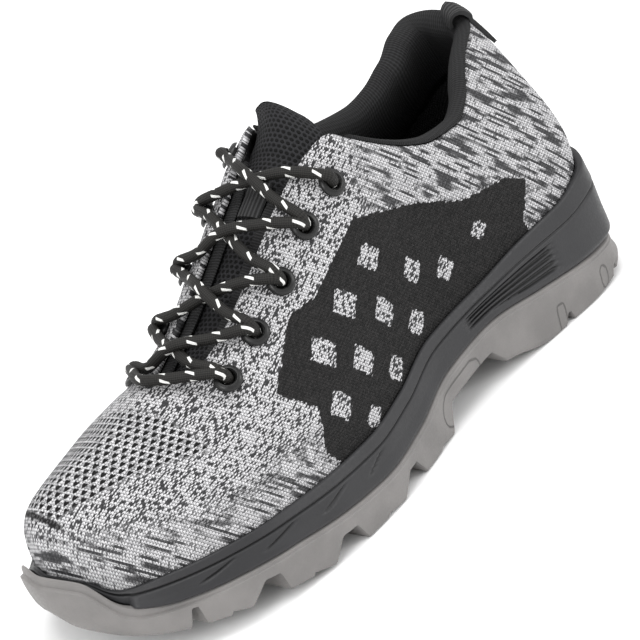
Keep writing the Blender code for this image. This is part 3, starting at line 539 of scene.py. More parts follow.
# Side of the foam, bottom to top: share of the height, and how far it stands back from the outline in m
FOAM_SIDE = (
    (0.00, 0.0010), (0.03, 0.0006), (0.10, 0.0006), (0.20, 0.0010), (0.35, 0.0017), (0.50, 0.0022),
    (0.62, 0.0026), (0.67, 0.0028), (0.73, 0.0029), (0.80, 0.0034), (0.90, 0.0040), (0.965, 0.0044),
    (1.00, 0.0049),
)
# Slanted accents: where each starts as a share of LENGTH, and its length in mm
ACCENTS = ((0.845, 15.0), (0.755, 17.0), (0.665, 15.0), (0.585, 12.0))


def foam_stand_back(share):
    for (a, first), (b, second) in zip(FOAM_SIDE, FOAM_SIDE[1:]):
        if share <= b:
            return first + (second - first) * (share - a) / (b - a)
    return FOAM_SIDE[-1][1]


def foam_relief(place, share, height):
    """How deep the groove, the ribs and the accents cut the foam, in m"""
    along = sole("along", place)
    groove = GROOVE_DEPTH * math.exp(-((share - GROOVE_AT) * height / GROOVE_WIDTH) ** 2)
    window = fade(along, 0.155, 0.175) * (1 - fade(along, 0.335, 0.352))
    low = RIB_LOW + 0.12 * fade(along, 0.20, 0.35)
    rib = 0.0
    if window and low < share < RIB_HIGH:
        wave = (share - RIB_LOW) / RIB_PITCH
        rib = RIB_DEPTH * window * (0.5 - 0.5 * math.cos(2 * math.pi * wave)) ** 0.6
    accent = 0.0
    for start, run in ACCENTS:
        ahead = (along - start) * LENGTH * MM
        if 0 < ahead < run:
            line = 0.30 + 0.30 * (1 - ahead / run)
            off = (share - line) * height / ACCENT_WIDTH
            swing = math.sin(math.pi * ahead / run) ** 0.5
            accent = max(accent, ACCENT_DEPTH * math.exp(-off ** 2) * swing)
    return groove + rib + accent


FOAM_SHARES = [0.0, 0.03] + steps(0.06, 1.0, 56)


def foam_section(place):
    base = level("split", place) + GAP
    height = level("rim", place) - base
    inner = RIM_INSET + RIM_WIDTH
    clear = min(crest(place) / 0.0001, 1.0)
    swell = HEEL_SWELL * fade(abs(place), 11.5, 13.5)
    section = [inset(place, BUMPER_WALL + 0.0009, level("split", place) - 0.002)]
    section.append(inset(place, BUMPER_WALL + 0.0007, base))
    for share in FOAM_SHARES:
        back = foam_stand_back(share)
        back = max(back, back + (CREST_CLEARANCE - back) * clear)
        back += foam_relief(place, share, height) - swell * min(share / 0.08, 1.0)
        section.append(inset(place, back, base + share * height))
    section.append(inset(place, inner - 0.0003, level("rim", place) + 0.0001))
    section.append(inset(place, inner, level("rim", place) - GAP))
    section.append(inset(place, inner, level("rim", place) - RECESS_DEPTH))
    section.append(inset(place, inner + 0.0054, level("bed", place)))
    section.append(inset(place, inner + 0.0100, level("bed", place)))
    return section


foam_round = both_sides(steps(0, ROWS, 210))
foam_points = flip([foam_section(place) for place in foam_round])
foam_cuts = [[0.0] * len(foam_round) for _ in foam_points]
for column, place in enumerate(foam_round):
    foam_height = level("rim", place) - level("split", place) - GAP
    for row, share in enumerate(FOAM_SHARES):
        foam_cuts[row + 2][column] = foam_relief(place, share, foam_height) * MM
foam_mesh = lay_surface(foam_points, wall_marks(foam_points), {"cut": foam_cuts})
close_surface(foam_mesh)
foam = Finish("black moulded foam")
foam_place = foam.place()
foam_grain = foam.cloud(foam_place, 1100.0, 3.0)
foam_tone = foam.mix(foam.cloud(foam_place, 45.0, 2.0), (0.018, 0.018, 0.019), (0.027, 0.027, 0.029))
# The foam's colour darkens where the groove, the ribs and the accents cut deepest: painted shade in these
# cuts.
foam.color(foam.mix(foam.ramp(foam.field("cut"), 0.25, 0.95, 0.0, 0.85), foam_tone, (0.003, 0.003, 0.003)))
foam.set(Roughness=foam.ramp(foam_grain, 0.3, 0.7, 0.36, 0.50), Specular_IOR_Level=0.25)
foam.bump(foam_grain, 0.00012, 0.5)
piece_from(foam_mesh, "midsole_foam", "midsole", ["midsole"], foam.material)


# Insole: a removable foot bed of thin foam under brushed black cloth, lying loose in the cup. Only its heel
# shows through the collar.
INSOLE_EDGE = RIM_INSET + RIM_WIDTH + 0.0026 + 2 * GAP + 0.0030
INSOLE_THICKNESS = 0.0040
# Section over the top from the outer edge to the inner one and back: share across, and share of the thickness
INSOLE_SECTION = (
    (0.0, 0.0), (0.0, 0.55), (0.01, 0.85), (0.03, 1.0), (0.2, 1.0), (0.5, 1.0), (0.8, 1.0), (0.97, 1.0),
    (0.99, 0.85), (1.0, 0.55), (1.0, 0.0), (0.5, 0.0), (0.0, 0.0),
)


def insole_row(place):
    bed = level("bed", place) + GAP
    lateral, medial = inset(place, INSOLE_EDGE, bed), inset(-place, INSOLE_EDGE, bed)
    row = []
    for share, rise in INSOLE_SECTION:
        spot = lateral.lerp(medial, share)
        spot.z += rise * INSOLE_THICKNESS
        row.append(spot)
    return row


insole_points = [insole_row(place) for place in steps(0, ROWS, 90)]
insole_mesh = lay_surface(insole_points, plan_marks(insole_points))
close_surface(insole_mesh)
nap = Finish("brushed insole cloth")
nap_place = nap.place()
fuzz = nap.cloud(nap_place, 900.0, 4.0, 0.7)
nap.color(nap.mix(nap.ramp(fuzz, 0.3, 0.7), (0.012, 0.012, 0.013), (0.034, 0.034, 0.036)))
nap.set(Roughness=0.95, Specular_IOR_Level=0.2)
nap.bump(fuzz, 0.0003, 0.6)
piece_from(insole_mesh, "insole_cloth", "insole", ["insole"], nap.material, sharp=50)


# Upper: one seamless knit of light grey and black yarn, drawn over the last and lasted into the foam cup.
# The vamp is knitted open in rows of small holes, the rest is a melange with space-dyed streaks, and each
# side has a black knitted saddle with small windows. Bonded black jersey lines it.
UPPER_HEIGHT = 0.120
UPPER_WALL = 0.0024
# Top line that the ribs end on: at counts the sole's rows, along is a share of LENGTH, centre and gap (half
# the opening) are shares of BALL_WIDTH, height is a share of UPPER_HEIGHT. On the inner side the edge stands
# further out by lean and higher by lift, shares of the same sizes.
TOP_COLUMNS = ("at", "along", "centre", "gap", "height", "lean", "lift")
TOP_ROWS = (
    (0.0, 0.8840, -0.012, 0.000, 0.525, 0.000, 0.000),
    (2.0, 0.8710, -0.010, 0.000, 0.532, 0.000, 0.000),
    (4.0, 0.8220, 0.004, 0.000, 0.560, 0.000, 0.000),
    (6.0, 0.7500, 0.018, 0.000, 0.604, 0.000, 0.000),
    (6.3, 0.7450, 0.018, 0.050, 0.604, -0.012, -0.012),
    (6.6, 0.7330, 0.018, 0.096, 0.610, -0.024, -0.028),
    (6.9, 0.7150, 0.018, 0.123, 0.624, -0.034, -0.036),
    (7.2, 0.6890, 0.018, 0.135, 0.648, -0.040, -0.034),
    (7.6, 0.6500, 0.018, 0.137, 0.698, -0.046, -0.024),
    (8.0, 0.6140, 0.018, 0.137, 0.752, -0.050, -0.008),
    (9.0, 0.5300, 0.018, 0.139, 0.898, -0.045, -0.006),
    (9.6, 0.4780, 0.017, 0.142, 0.959, -0.010, 0.000),
    (10.0, 0.4320, 0.014, 0.168, 0.995, 0.000, 0.000),
    (10.3, 0.4095, 0.010, 0.215, 0.955, 0.000, 0.000),
    (10.7, 0.3770, 0.009, 0.250, 0.896, 0.000, 0.000),
    (11.1, 0.3380, 0.009, 0.269, 0.839, 0.000, 0.000),
    (11.6, 0.2925, 0.017, 0.263, 0.796, 0.000, 0.000),
    (12.1, 0.2405, 0.015, 0.253, 0.782, -0.004, 0.000),
    (12.6, 0.2050, 0.012, 0.231, 0.815, -0.016, 0.000),
    (13.1, 0.1780, 0.002, 0.199, 0.862, -0.016, 0.002),
    (13.7, 0.1450, -0.012, 0.160, 0.895, 0.010, 0.024),
    (14.3, 0.1080, -0.024, 0.119, 0.912, 0.038, 0.026),
    (14.7, 0.0860, -0.029, 0.074, 0.918, 0.028, 0.020),
    (15.0, 0.0760, -0.029, 0.000, 0.927, 0.000, 0.000),
)
THROAT_FRONT = 6.0
THROAT_TURN = 1.2
THROAT_MIDDLE = 0.018
# Curve of each rib from the rim to that line: rise is a share of its height, swell and reach are shares of
# BALL_WIDTH, drop is a share of UPPER_HEIGHT. The inner side has a rise, reach and drop of its own.
RIB_COLUMNS = ("at", "rise", "swell", "reach", "drop", "inner_rise", "inner_reach", "inner_drop")
RIB_ROWS = (
    (0.0, 0.78, 0.028, 0.206, 0.000, 0.78, 0.206, 0.000),
    (2.0, 0.74, 0.026, 0.206, 0.000, 0.70, 0.200, 0.012),
    (4.0, 0.62, 0.024, 0.225, 0.000, 0.46, 0.190, 0.038),
    (6.0, 0.52, 0.020, 0.245, 0.000, 0.38, 0.205, 0.038),
    (7.0, 0.50, 0.015, 0.210, 0.005, 0.42, 0.190, 0.034),
    (8.0, 0.50, 0.009, 0.200, 0.020, 0.46, 0.200, 0.032),
    (9.0, 0.50, 0.000, 0.200, 0.045, 0.49, 0.200, 0.048),
    (10.0, 0.44, 0.000, 0.165, 0.100, 0.44, 0.165, 0.100),
    (10.5, 0.41, 0.004, 0.118, 0.170, 0.41, 0.118, 0.170),
    (11.2, 0.38, 0.010, 0.065, 0.220, 0.38, 0.065, 0.220),
    (12.0, 0.38, 0.019, 0.047, 0.183, 0.38, 0.047, 0.183),
    (13.0, 0.38, 0.028, 0.068, 0.180, 0.38, 0.068, 0.180),
    (14.0, 0.39, 0.028, 0.104, 0.140, 0.39, 0.104, 0.140),
    (15.0, 0.40, 0.028, 0.112, 0.135, 0.40, 0.112, 0.135),
)
TOP = smooth_columns(TOP_ROWS, TOP_COLUMNS, True)
RIBS = smooth_columns(RIB_ROWS, RIB_COLUMNS, True)
gap_curve = TOP["gap"]
gap_curve[2][-1] = (gap_curve[1][-1] - gap_curve[1][-2]) / (gap_curve[0][-1] - gap_curve[0][-2])


def top_line(place):
    at = abs(place)
    half = read_curve(TOP["gap"], at)
    centre = read_curve(TOP["centre"], at)
    lift = 0.0
    across = centre + half
    if place < 0:
        across = centre - half - read_curve(TOP["lean"], at)
        lift = read_curve(TOP["lift"], at)
    spot = share_to_plan(read_curve(TOP["along"], at), across)
    spot.z = (read_curve(TOP["height"], at) + lift) * UPPER_HEIGHT
    return spot


def foot_line(place):
    return inset(place, RIM_INSET + RIM_WIDTH + GAP, level("rim", place))


def upper_point(place, up):
    """Outer face of the knit: up is 0 at the foam's rim and 1 at the throat or collar"""
    place = wrap(place)
    at = abs(place)
    foot = foot_line(place)
    top = top_line(place)
    away = outward(place)
    height = top.z - foot.z
    side = "" if place >= 0 else "inner_"
    reach = read_curve(RIBS[side + "reach"], at) * BALL_WIDTH
    fall = read_curve(RIBS[side + "drop"], at) * UPPER_HEIGHT
    if at < THROAT_FRONT:
        ahead = top_line(max(at - 0.4, 0.0))
        behind = top_line(at + 0.4)
        run = max(ahead.x - behind.x, 1e-5)
        fall += reach * max(away.x, 0.0) * min((behind.z - ahead.z) / run, 0.5)
    low = foot + away * read_curve(RIBS["swell"], at) * BALL_WIDTH
    low.z += read_curve(RIBS[side + "rise"], at) * height
    high = top + away * reach
    high.z -= fall
    down = 1 - up
    return foot * down ** 3 + low * (3 * up * down ** 2) + high * (3 * up * up * down) + top * up ** 3


def side_normal(place, up):
    round_run = upper_point(place + 0.02, up) - upper_point(place - 0.02, up)
    up_run = upper_point(place, min(up + 0.02, 1.0)) - upper_point(place, max(up - 0.02, 0.0))
    return round_run.cross(up_run).normalized()


def crest_normal(place):
    at = min(max(abs(place), 0.3), THROAT_FRONT - 0.2)
    return (side_normal(at, 0.97) + side_normal(-at, 0.97)).normalized()


def upper_normal(place, up):
    """Outward direction, evened out round the front of the throat, where the ribs run along its edge"""
    at = abs(place)
    if up > 0.995 and at <= THROAT_FRONT:
        return crest_normal(place)
    own = side_normal(place, min(up, 0.98))
    share = (at - THROAT_FRONT) / THROAT_TURN
    if up < 0.72 or share <= 0 or share >= 1:
        return own
    back = side_normal(math.copysign(THROAT_FRONT + THROAT_TURN, place), min(up, 0.98))
    return own.lerp(crest_normal(THROAT_FRONT).lerp(back, share), fade(up, 0.72, 0.88)).normalized()


def under_knit(place, up, depth):
    return upper_point(place, up) - upper_normal(place, up) * depth


# Eyelet centres seen from above: x of the front pair, distance between pairs, and each row's distance from
# the middle of the throat
EYELET_COUNT = 5
EYELET_FIRST = 0.0655
EYELET_PITCH = 0.0185
EYELET_HALF = 0.0245
EYELET_INNER_HALF = 0.0195


def on_upper(x, across):
    """Place and height on the knit over a point in plan"""
    side = 1 if across > 0 else -1
    middle = share_to_plan(0.0, THROAT_MIDDLE).y

    def up_at(place):
        low, high = 0.3, 1.0
        for _ in range(24):
            up = (low + high) / 2
            low, high = (up, high) if abs(upper_point(place, up).y - middle) > abs(across) else (low, up)
        return (low + high) / 2

    near, far = 5.0, 10.6
    for _ in range(24):
        place = (near + far) / 2
        near, far = (place, far) if upper_point(side * place, up_at(side * place)).x > x else (near, place)
    place = side * (near + far) / 2
    return place, up_at(place)


EYELETS = {}
for eyelet_side, eyelet_half in (("outer", EYELET_HALF), ("inner", -EYELET_INNER_HALF)):
    for eyelet_number in range(EYELET_COUNT):
        eyelet_x = EYELET_FIRST - eyelet_number * EYELET_PITCH
        EYELETS[eyelet_side, eyelet_number] = on_upper(eyelet_x, eyelet_half)

# The black saddle on each side, as x and z in mm: front edge, foot along the sole, back edge, top edge
SADDLE = (
    (57, 61), (46, 50), (52, 36), (40, 20), (-20, 20), (-98, 30), (-92, 46),
    (-98, 60), (-88, 66), (-62, 71), (-40, 82), (-8, 93), (22, 79), (34, 78),
)
# Windows in it: centre x and z, half length along the courses and half height across them
WINDOWS = (
    (31, 63, 5.2, 4.2), (12, 71, 5.2, 4.2), (-8, 78, 5.0, 4.0),
    (36, 45, 4.6, 4.2), (16, 51, 5.0, 4.2), (-5, 58, 5.0, 4.2), (-27, 62, 4.6, 3.8),
    (22, 32, 4.0, 3.6), (0, 38, 4.6, 4.0), (-21, 44, 4.6, 4.0), (-45, 52, 4.4, 3.6),
    (-67, 56, 3.8, 3.0),
)


def panel_distance(x, z):
    """Distance in mm into the outline of the saddle, less than 0 outside it"""
    inside = False
    nearest = 1e9
    for (ax, az), (bx, bz) in zip(SADDLE, SADDLE[1:] + SADDLE[:1]):
        ex, ez = bx - ax, bz - az
        share = min(max(((x - ax) * ex + (z - az) * ez) / (ex * ex + ez * ez), 0.0), 1.0)
        nearest = min(nearest, math.hypot(x - ax - share * ex, z - az - share * ez))
        if (az > z) != (bz > z) and x < ax + (z - az) / (bz - az) * ex:
            inside = not inside
    return nearest if inside else -nearest


def saddle_distance(x, z):
    """Distance in mm into the black saddle, less than 0 outside it and in its windows"""
    depth = panel_distance(x, z)
    for middle_x, middle_z, half_long, half_tall in WINDOWS:
        along = (x - middle_x + z - middle_z) / math.sqrt(2)
        across = (x - middle_x - z + middle_z) / math.sqrt(2)
        depth = min(depth, max(abs(along) - half_long, abs(across) - half_tall))
    return depth


def vamp_front(spot):
    """Distance in mm behind the ridge that ends the open-knit vamp towards the toe"""
    y = spot.y * MM
    return 139.5 - 0.018 * y * y - spot.x * MM


def vamp_distance(spot):
    """Distance in mm into the open-knit vamp, a shield between the throat and the toe"""
    x, y = spot.x * MM, spot.y * MM
    outer_edge = 31 - 0.62 * (x - 94)
    return min(vamp_front(spot), x - 88, 0.85 * (outer_edge - y), y + 34)


def lean_back(spot):
    """A point in mm as seen from the side and turned by 45 degrees"""
    return (spot.x - spot.z) * MM / math.sqrt(2), (spot.x + spot.z) * MM / math.sqrt(2)


# Middle line of the knit from the throat's front to the toe, as course, wale and y in mm
middle_points = [upper_point(THROAT_FRONT * (1 - step / 24), 1.0) for step in range(25)]
middle_points += [upper_point(0.0, 1.0 - step / 24) for step in range(1, 25)]
MIDDLE_LINE = [(*lean_back(spot), spot.y * MM) for spot in middle_points]
MIDDLE_COURSES = [spot[0] for spot in MIDDLE_LINE]
BACK_SLOPE = 0.3


def knit_mark(spot, place):
    """Course and wale in mm: courses lean back at 45 degrees, and wales are counted from the middle line"""
    course, wale = lean_back(spot)
    i = min(max(bisect.bisect_right(MIDDLE_COURSES, course), 1), len(MIDDLE_LINE) - 1)
    first, second = MIDDLE_LINE[i - 1], MIDDLE_LINE[i]
    share = min((course - first[0]) / max(second[0] - first[0], 0.01), 1.0)
    if course < MIDDLE_COURSES[0]:
        middle, across = first[1] + BACK_SLOPE * (course - first[0]), first[2]
    else:
        middle, across = (first[j] + (second[j] - first[j]) * share for j in (1, 2))
    reach = abs(spot.y * MM - across) + middle - wale
    return course, math.copysign(reach, place)


def knit_zones(spot):
    """Distances in mm into the saddle, into the vamp and from its ridge, and the share of streaks, 0 to 1"""
    x, y, z = (length * MM for length in spot)
    past = max(x - 100, 0)
    heel = fade(x + 0.3 * z, 18.0, 2.0)
    toe = fade(x, 40.0, 62.0) * fade(z, 50.0 + 0.12 * past, 34.0 + 0.25 * past)
    return {
        "saddle": saddle_distance(x, z),
        "vamp": vamp_distance(spot),
        "streak": min(heel + toe, 1.0) * fade(panel_distance(x, z), 1.0, -2.0),
        "ridge": abs(vamp_front(spot)) + max(y - 3, 0) * 0.4,
    }


KNIT_AROUND = 400
KNIT_UP = 60
EYELET_HOLE = 0.0037
knit_places = [ROWS * (2 * i / KNIT_AROUND - 1) for i in range(KNIT_AROUND + 1)]
knit_lines = []
for place in knit_places:
    line = [upper_point(place, up) for up in steps(0, 1, KNIT_UP)]
    knit_lines.append([line[0] - Vector((0, 0, RECESS_DEPTH - 2 * GAP))] + line)
knit_points = flip(knit_lines)
knit_marks = [[knit_mark(spot, place) for spot, place in zip(row, knit_places)] for row in knit_points]
zones = [[knit_zones(spot) for spot in row] for row in knit_points]
knit_fields = {name: [[zone[name] for zone in row] for row in zones] for name in zones[0][0]}
knit_mesh = lay_surface(knit_points, knit_marks, knit_fields)
close_surface(knit_mesh, fill=False)
eyelet_centres = [upper_point(*seat) for seat in EYELETS.values()]
holes = [
    face for face in knit_mesh.faces
    if any((face.calc_center_median() - centre).length < EYELET_HOLE for centre in eyelet_centres)
]
bmesh.ops.delete(knit_mesh, geom=holes, context="FACES")

# Sizes of the knit in mm
WALE_WIDTH = 1.6
COURSE_HEIGHT = 1.12
STREAK_HEIGHT = 0.95
STREAK_LENGTH = 16.0
VAMP_PITCH = 4.1
VAMP_ROW = VAMP_PITCH * 0.62
knit = Finish("melange knit")
course, wale = knit.pattern()
leg = (wale / WALE_WIDTH).math("PINGPONG", 0.5)
stitch = course / COURSE_HEIGHT + leg * 1.1
course_number = stitch.math("FLOOR")
wale_number = (wale / (WALE_WIDTH / 2)).math("FLOOR")
yarn = (stitch.math("FRACT") * math.pi).math("SINE")
loft = yarn.math("POWER", 0.6) * knit.ramp(leg, 0.0, 0.12, 0.3, 1.0)
dye = knit.speckle(knit.join(course_number, wale_number))
blotch = knit.cloud(knit.place(), 90.0, 2.0)
melange_dark = knit.ramp(dye + blotch * 0.5, 0.56, 0.58, 1.0, 0.0)
streak_row = (course / STREAK_HEIGHT).math("FLOOR")
space_dye = knit.cloud(knit.join(streak_row * 3.71, wale / STREAK_LENGTH), 1.0, 0.0)
fleck_dark = knit.ramp(dye, 0.08, 0.10, 0.7, 0.0)
streak_dark = knit.ramp(space_dye, 0.50, 0.60).math("MAXIMUM", fleck_dark)
streak_share = knit.field("streak")
grey_dark = melange_dark * (1.0 - streak_share) + streak_dark * streak_share
ragged = knit.speckle(knit.join(wale_number, 3.0)) - 0.5
saddle_share = knit.ramp(knit.field("saddle") + ragged * 0.9, -0.15, 0.15)
vamp_share = knit.ramp(knit.field("vamp"), 0.0, 2.0)
vamp_row = course / VAMP_ROW
hole_x = vamp_row.math("FRACT") - 0.5
hole_y = (wale / VAMP_PITCH + vamp_row.math("FLOOR") * 0.5).math("FRACT") - 0.5
hole_reach = hole_x * 0.75 + hole_y.math("ABSOLUTE") * 0.8 - 0.12
hole_size = (hole_reach * hole_reach + hole_y * hole_y).math("SQRT")
hole = knit.ramp(hole_size, 0.24, 0.31, 1.0, 0.0) * vamp_share
ridge_dark = knit.ramp(knit.field("ridge"), 0.4, 1.3, 0.9, 0.0)
light_yarn = knit.mix(dye, (0.42, 0.42, 0.43), (0.62, 0.615, 0.625))
dark_yarn = knit.mix(dye, (0.040, 0.040, 0.042), (0.085, 0.085, 0.088))
black_yarn = knit.mix(dye, (0.012, 0.012, 0.012), (0.026, 0.025, 0.025))
grey_knit = knit.mix(grey_dark * (1.0 - vamp_share * 0.6), light_yarn, dark_yarn)
# Darker grey where the loft sinks between the yarn loops: painted shade between the yarns.
grey_knit = knit.mix(knit.ramp(loft, 0.08, 0.72, 0.93, 0.0), grey_knit, (0.045, 0.045, 0.047))
grey_knit = knit.mix(hole.math("MAXIMUM", ridge_dark), grey_knit, (0.010, 0.010, 0.010))
knit.color(knit.mix(saddle_share, grey_knit, black_yarn))
knit.set(Roughness=0.9, Specular_IOR_Level=0.15)
knit.bump(loft - hole * 1.5, 0.0006, 0.9)

jersey = Finish("black lining jersey")
jersey_course, jersey_wale = jersey.pattern()
jersey_rib = (jersey_course * 5.2).math("SINE") * (jersey_wale * 4.1).math("SINE")
# Darker where the rib pattern sinks: painted shade in the valleys between the ribs.
jersey.color(jersey.mix(jersey.ramp(jersey_rib, -1.0, 1.0), (0.010, 0.010, 0.010), (0.024, 0.024, 0.025)))
jersey.set(Roughness=0.95, Specular_IOR_Level=0.15)
jersey.bump(jersey_rib, 0.0003, 0.6)
knit_upper = piece_from(knit_mesh, "knit_upper", "knit", ["upper"], knit.material, jersey.material)
knit_wall = knit_upper.modifiers.new("wall", "SOLIDIFY")
knit_wall.thickness = UPPER_WALL
knit_wall.offset = -1.0
knit_wall.material_offset = 1


# Throat trim: a strip of folded black tape bonded under the knit along both sides of the throat and round its
# front. The eyelets go through it, and its folded edge shows inside the knit's edge.
TRIM_THICKNESS = 0.0016
TRIM_OVERHANG = 0.0052
TRIM_TAPER = 0.7
TRIM_GAP = 0.0009
TRIM_FRONT_PLACE = 5.5
TRIM_START_PLACE = 6.2
TRIM_TOP_PLACE = 9.6
TRIM_UNDERLAP = 0.0150
RIB_RUN = 0.075


def edge_run(place):
    """Direction across the throat edge, into the opening"""
    along = (top_line(place + 0.05) - top_line(place - 0.05)).normalized()
    return upper_normal(place, 1.0).cross(along).normalized()


def trim_section(place):
    at = abs(place)
    share = fade(at, THROAT_FRONT, THROAT_FRONT + 1.2)
    back = math.copysign(TRIM_FRONT_PLACE + (at - TRIM_FRONT_PLACE) * share, place)
    low = 1.0 - share * TRIM_UNDERLAP / RIB_RUN
    overhang = TRIM_OVERHANG * (1 - TRIM_TAPER * fade(at, TRIM_TOP_PLACE - 0.7, TRIM_TOP_PLACE))
    top, bottom = [], []
    for depth, line in ((UPPER_WALL + TRIM_GAP, top), (UPPER_WALL + TRIM_GAP + TRIM_THICKNESS, bottom)):
        edge = under_knit(place, 1.0, depth)
        line.append(under_knit(back, low, depth))
        line.append(under_knit((back + place) / 2, (1.0 + low) / 2, depth))
        line.append(edge)
        line.append(edge + edge_run(place) * overhang * 0.9)
    tip = (top[-1] + bottom[-1]) / 2 + edge_run(place) * overhang * 0.1
    loop = top + [tip] + bottom[::-1]
    return loop + loop[:1]


trim_half = steps(TRIM_TOP_PLACE, TRIM_START_PLACE, 34)
trim_places = trim_half + [-place for place in reversed(trim_half)]
trim_points = [trim_section(place) for place in trim_places]
trim_run = length_marks(flip(trim_points))[4]
trim_marks = [[(run, column * 3.0) for column in range(len(row))] for run, row in zip(trim_run, trim_points)]
trim_mesh = lay_surface(trim_points, trim_marks)
close_surface(trim_mesh)
tape = Finish("black folded tape")
tape_along, _ = tape.pattern()
tape_weave = (tape_along * 6.0).math("SINE") + tape.cloud(tape.place(), 800.0)
# Colour follows the weave's height and a random cloud: random tone, and painted shade where the weave sinks.
tape.color(tape.mix(tape.ramp(tape_weave, -1.0, 2.0), (0.010, 0.010, 0.010), (0.030, 0.030, 0.031)))
tape.set(Roughness=0.85, Specular_IOR_Level=0.2)
tape.bump(tape_weave, 0.0002, 0.6)
piece_from(trim_mesh, "throat_tape", "trim", ["throat_trim"], tape.material, sharp=60)


# Collar cuff: foam under ribbed black knit, sewn to the top line, rolled over its edge and stuck down inside
# the shoe as the padded heel lining.
CUFF_THICKNESS = 0.0060
CUFF_ROLL = 0.0030
CUFF_FRONT_PLACE = 10.35


# Over the knit's edge: share of CUFF_ROLL up from it, and distance out from the knit's face in m
CUFF_CREST = ((0.50, 0.0007), (0.82, 0.0001), (1.05, -0.0014))
# Down the padded face: how far up the rib, share of the padding, and distance more in m
CUFF_FACE = (
    (0.95, 1.0, 0.0), (0.88, 1.0, 0.0003), (0.80, 1.0, -0.0004), (0.72, 0.80, 0.0),
    (0.64, 0.52, 0.0), (0.56, 0.25, 0.0), (0.50, 0.02, 0.0),
)


def cuff_section(place):
    """Closed section of the cuff: up the inside of the knit, over its edge, and down the padded face"""
    top = upper_point(place, 1.0)
    away = upper_normal(place, 1.0)
    rise = (upper_point(place, 1.0) - upper_point(place, 0.96)).normalized()
    near = UPPER_WALL + 2 * GAP
    far = near + CUFF_THICKNESS
    section = [under_knit(place, up, near) for up in (0.58, 0.7, 0.82, 0.93)]
    section += [
        top - away * near + rise * 0.0003,
        top + rise * 0.0004 - away * 0.0008,
        top + rise * 0.0008 + away * 0.0003,
    ]
    section += [top + rise * CUFF_ROLL * share + away * out for share, out in CUFF_CREST]
    section += [
        top + rise * CUFF_ROLL * 1.12 - away * (near + 0.0004),
        top + rise * CUFF_ROLL * 0.98 - away * 0.55 * far,
        top + rise * CUFF_ROLL * 0.60 - away * 0.78 * far,
        top - away * 0.93 * far,
    ]
    section += [under_knit(place, up, near + share * CUFF_THICKNESS + more) for up, share, more in CUFF_FACE]
    return section + section[:1]


cuff_places = both_sides(steps(CUFF_FRONT_PLACE, ROWS, 60))
cuff_points = [cuff_section(place) for place in cuff_places]
cuff_along = length_marks(flip(cuff_points))[8]
cuff_marks = [[(run, down) for down in line] for run, line in zip(cuff_along, length_marks(cuff_points))]
cuff_mesh = lay_surface(cuff_points, cuff_marks)
close_surface(cuff_mesh)
lining = Finish("ribbed black lining")
lining_along, lining_across = lining.pattern()
lining_loft = (lining_along * 6.6).math("SINE") + (lining_across * 3.4).math("SINE") * 0.4
# Darker where the ribs sink: painted shade between the ribs.
lining.color(lining.mix(lining.ramp(lining_loft, -1.2, 1.2), (0.012, 0.012, 0.012), (0.026, 0.026, 0.027)))
lining.set(Roughness=0.92, Specular_IOR_Level=0.15)
lining.bump(lining_loft, 0.00015, 0.6)
cuff = piece_from(cuff_mesh, "collar_lining", "lining", ["collar_cuff"], lining.material)


# Tongue: spacer mesh over foam, with a rounded tip that stands above the throat. It is sewn to the vamp's
# lining in front and held by the lace.
THROAT_SLOPE = math.radians(29)
TONGUE_LEAN = math.radians(45)
THROAT_RISE = Vector((math.sin(THROAT_SLOPE), 0.0, math.cos(THROAT_SLOPE)))
TONGUE_THICKNESS = 0.0055
TONGUE_ARCH = 0.0080
TONGUE_PAST = 0.0205
TONGUE_HOLD = 0.75
TONGUE_SHIFT = 0.0070
# Rows of the tongue, front to tip: at counts the sole's rows, low is how far down each rib it reaches, arch
# and thick are shares of TONGUE_ARCH and TONGUE_THICKNESS, and past is a share of TONGUE_PAST beyond the last
# rib
TONGUE_COLUMNS = ("step", "at", "low", "arch", "thick", "past")
TONGUE_ROWS = (
    (0, 5.2, 0.90, 0.00, 0.35, 0.0),
    (1, 5.7, 0.86, 0.00, 0.45, 0.0),
    (2, 6.4, 0.80, 0.05, 0.70, 0.0),
    (3, 7.0, 0.77, 0.15, 0.90, 0.0),
    (4, 7.6, 0.77, 0.25, 1.00, 0.0),
    (5, 8.2, 0.78, 0.35, 1.00, 0.0),
    (6, 8.8, 0.79, 0.40, 1.00, 0.0),
    (7, 9.3, 0.80, 0.45, 1.00, 0.0),
    (8, 9.7, 0.82, 0.55, 1.00, 0.0),
    (9, 9.7, 0.82, 0.80, 1.00, 0.4),
    (10, 9.7, 0.82, 0.90, 1.00, 0.8),
    (11, 9.7, 0.82, 0.85, 0.60, 1.0),
)
TONGUE = smooth_columns(TONGUE_ROWS, TONGUE_COLUMNS, True)
TONGUE_ACROSS = 25
TONGUE_END = 11


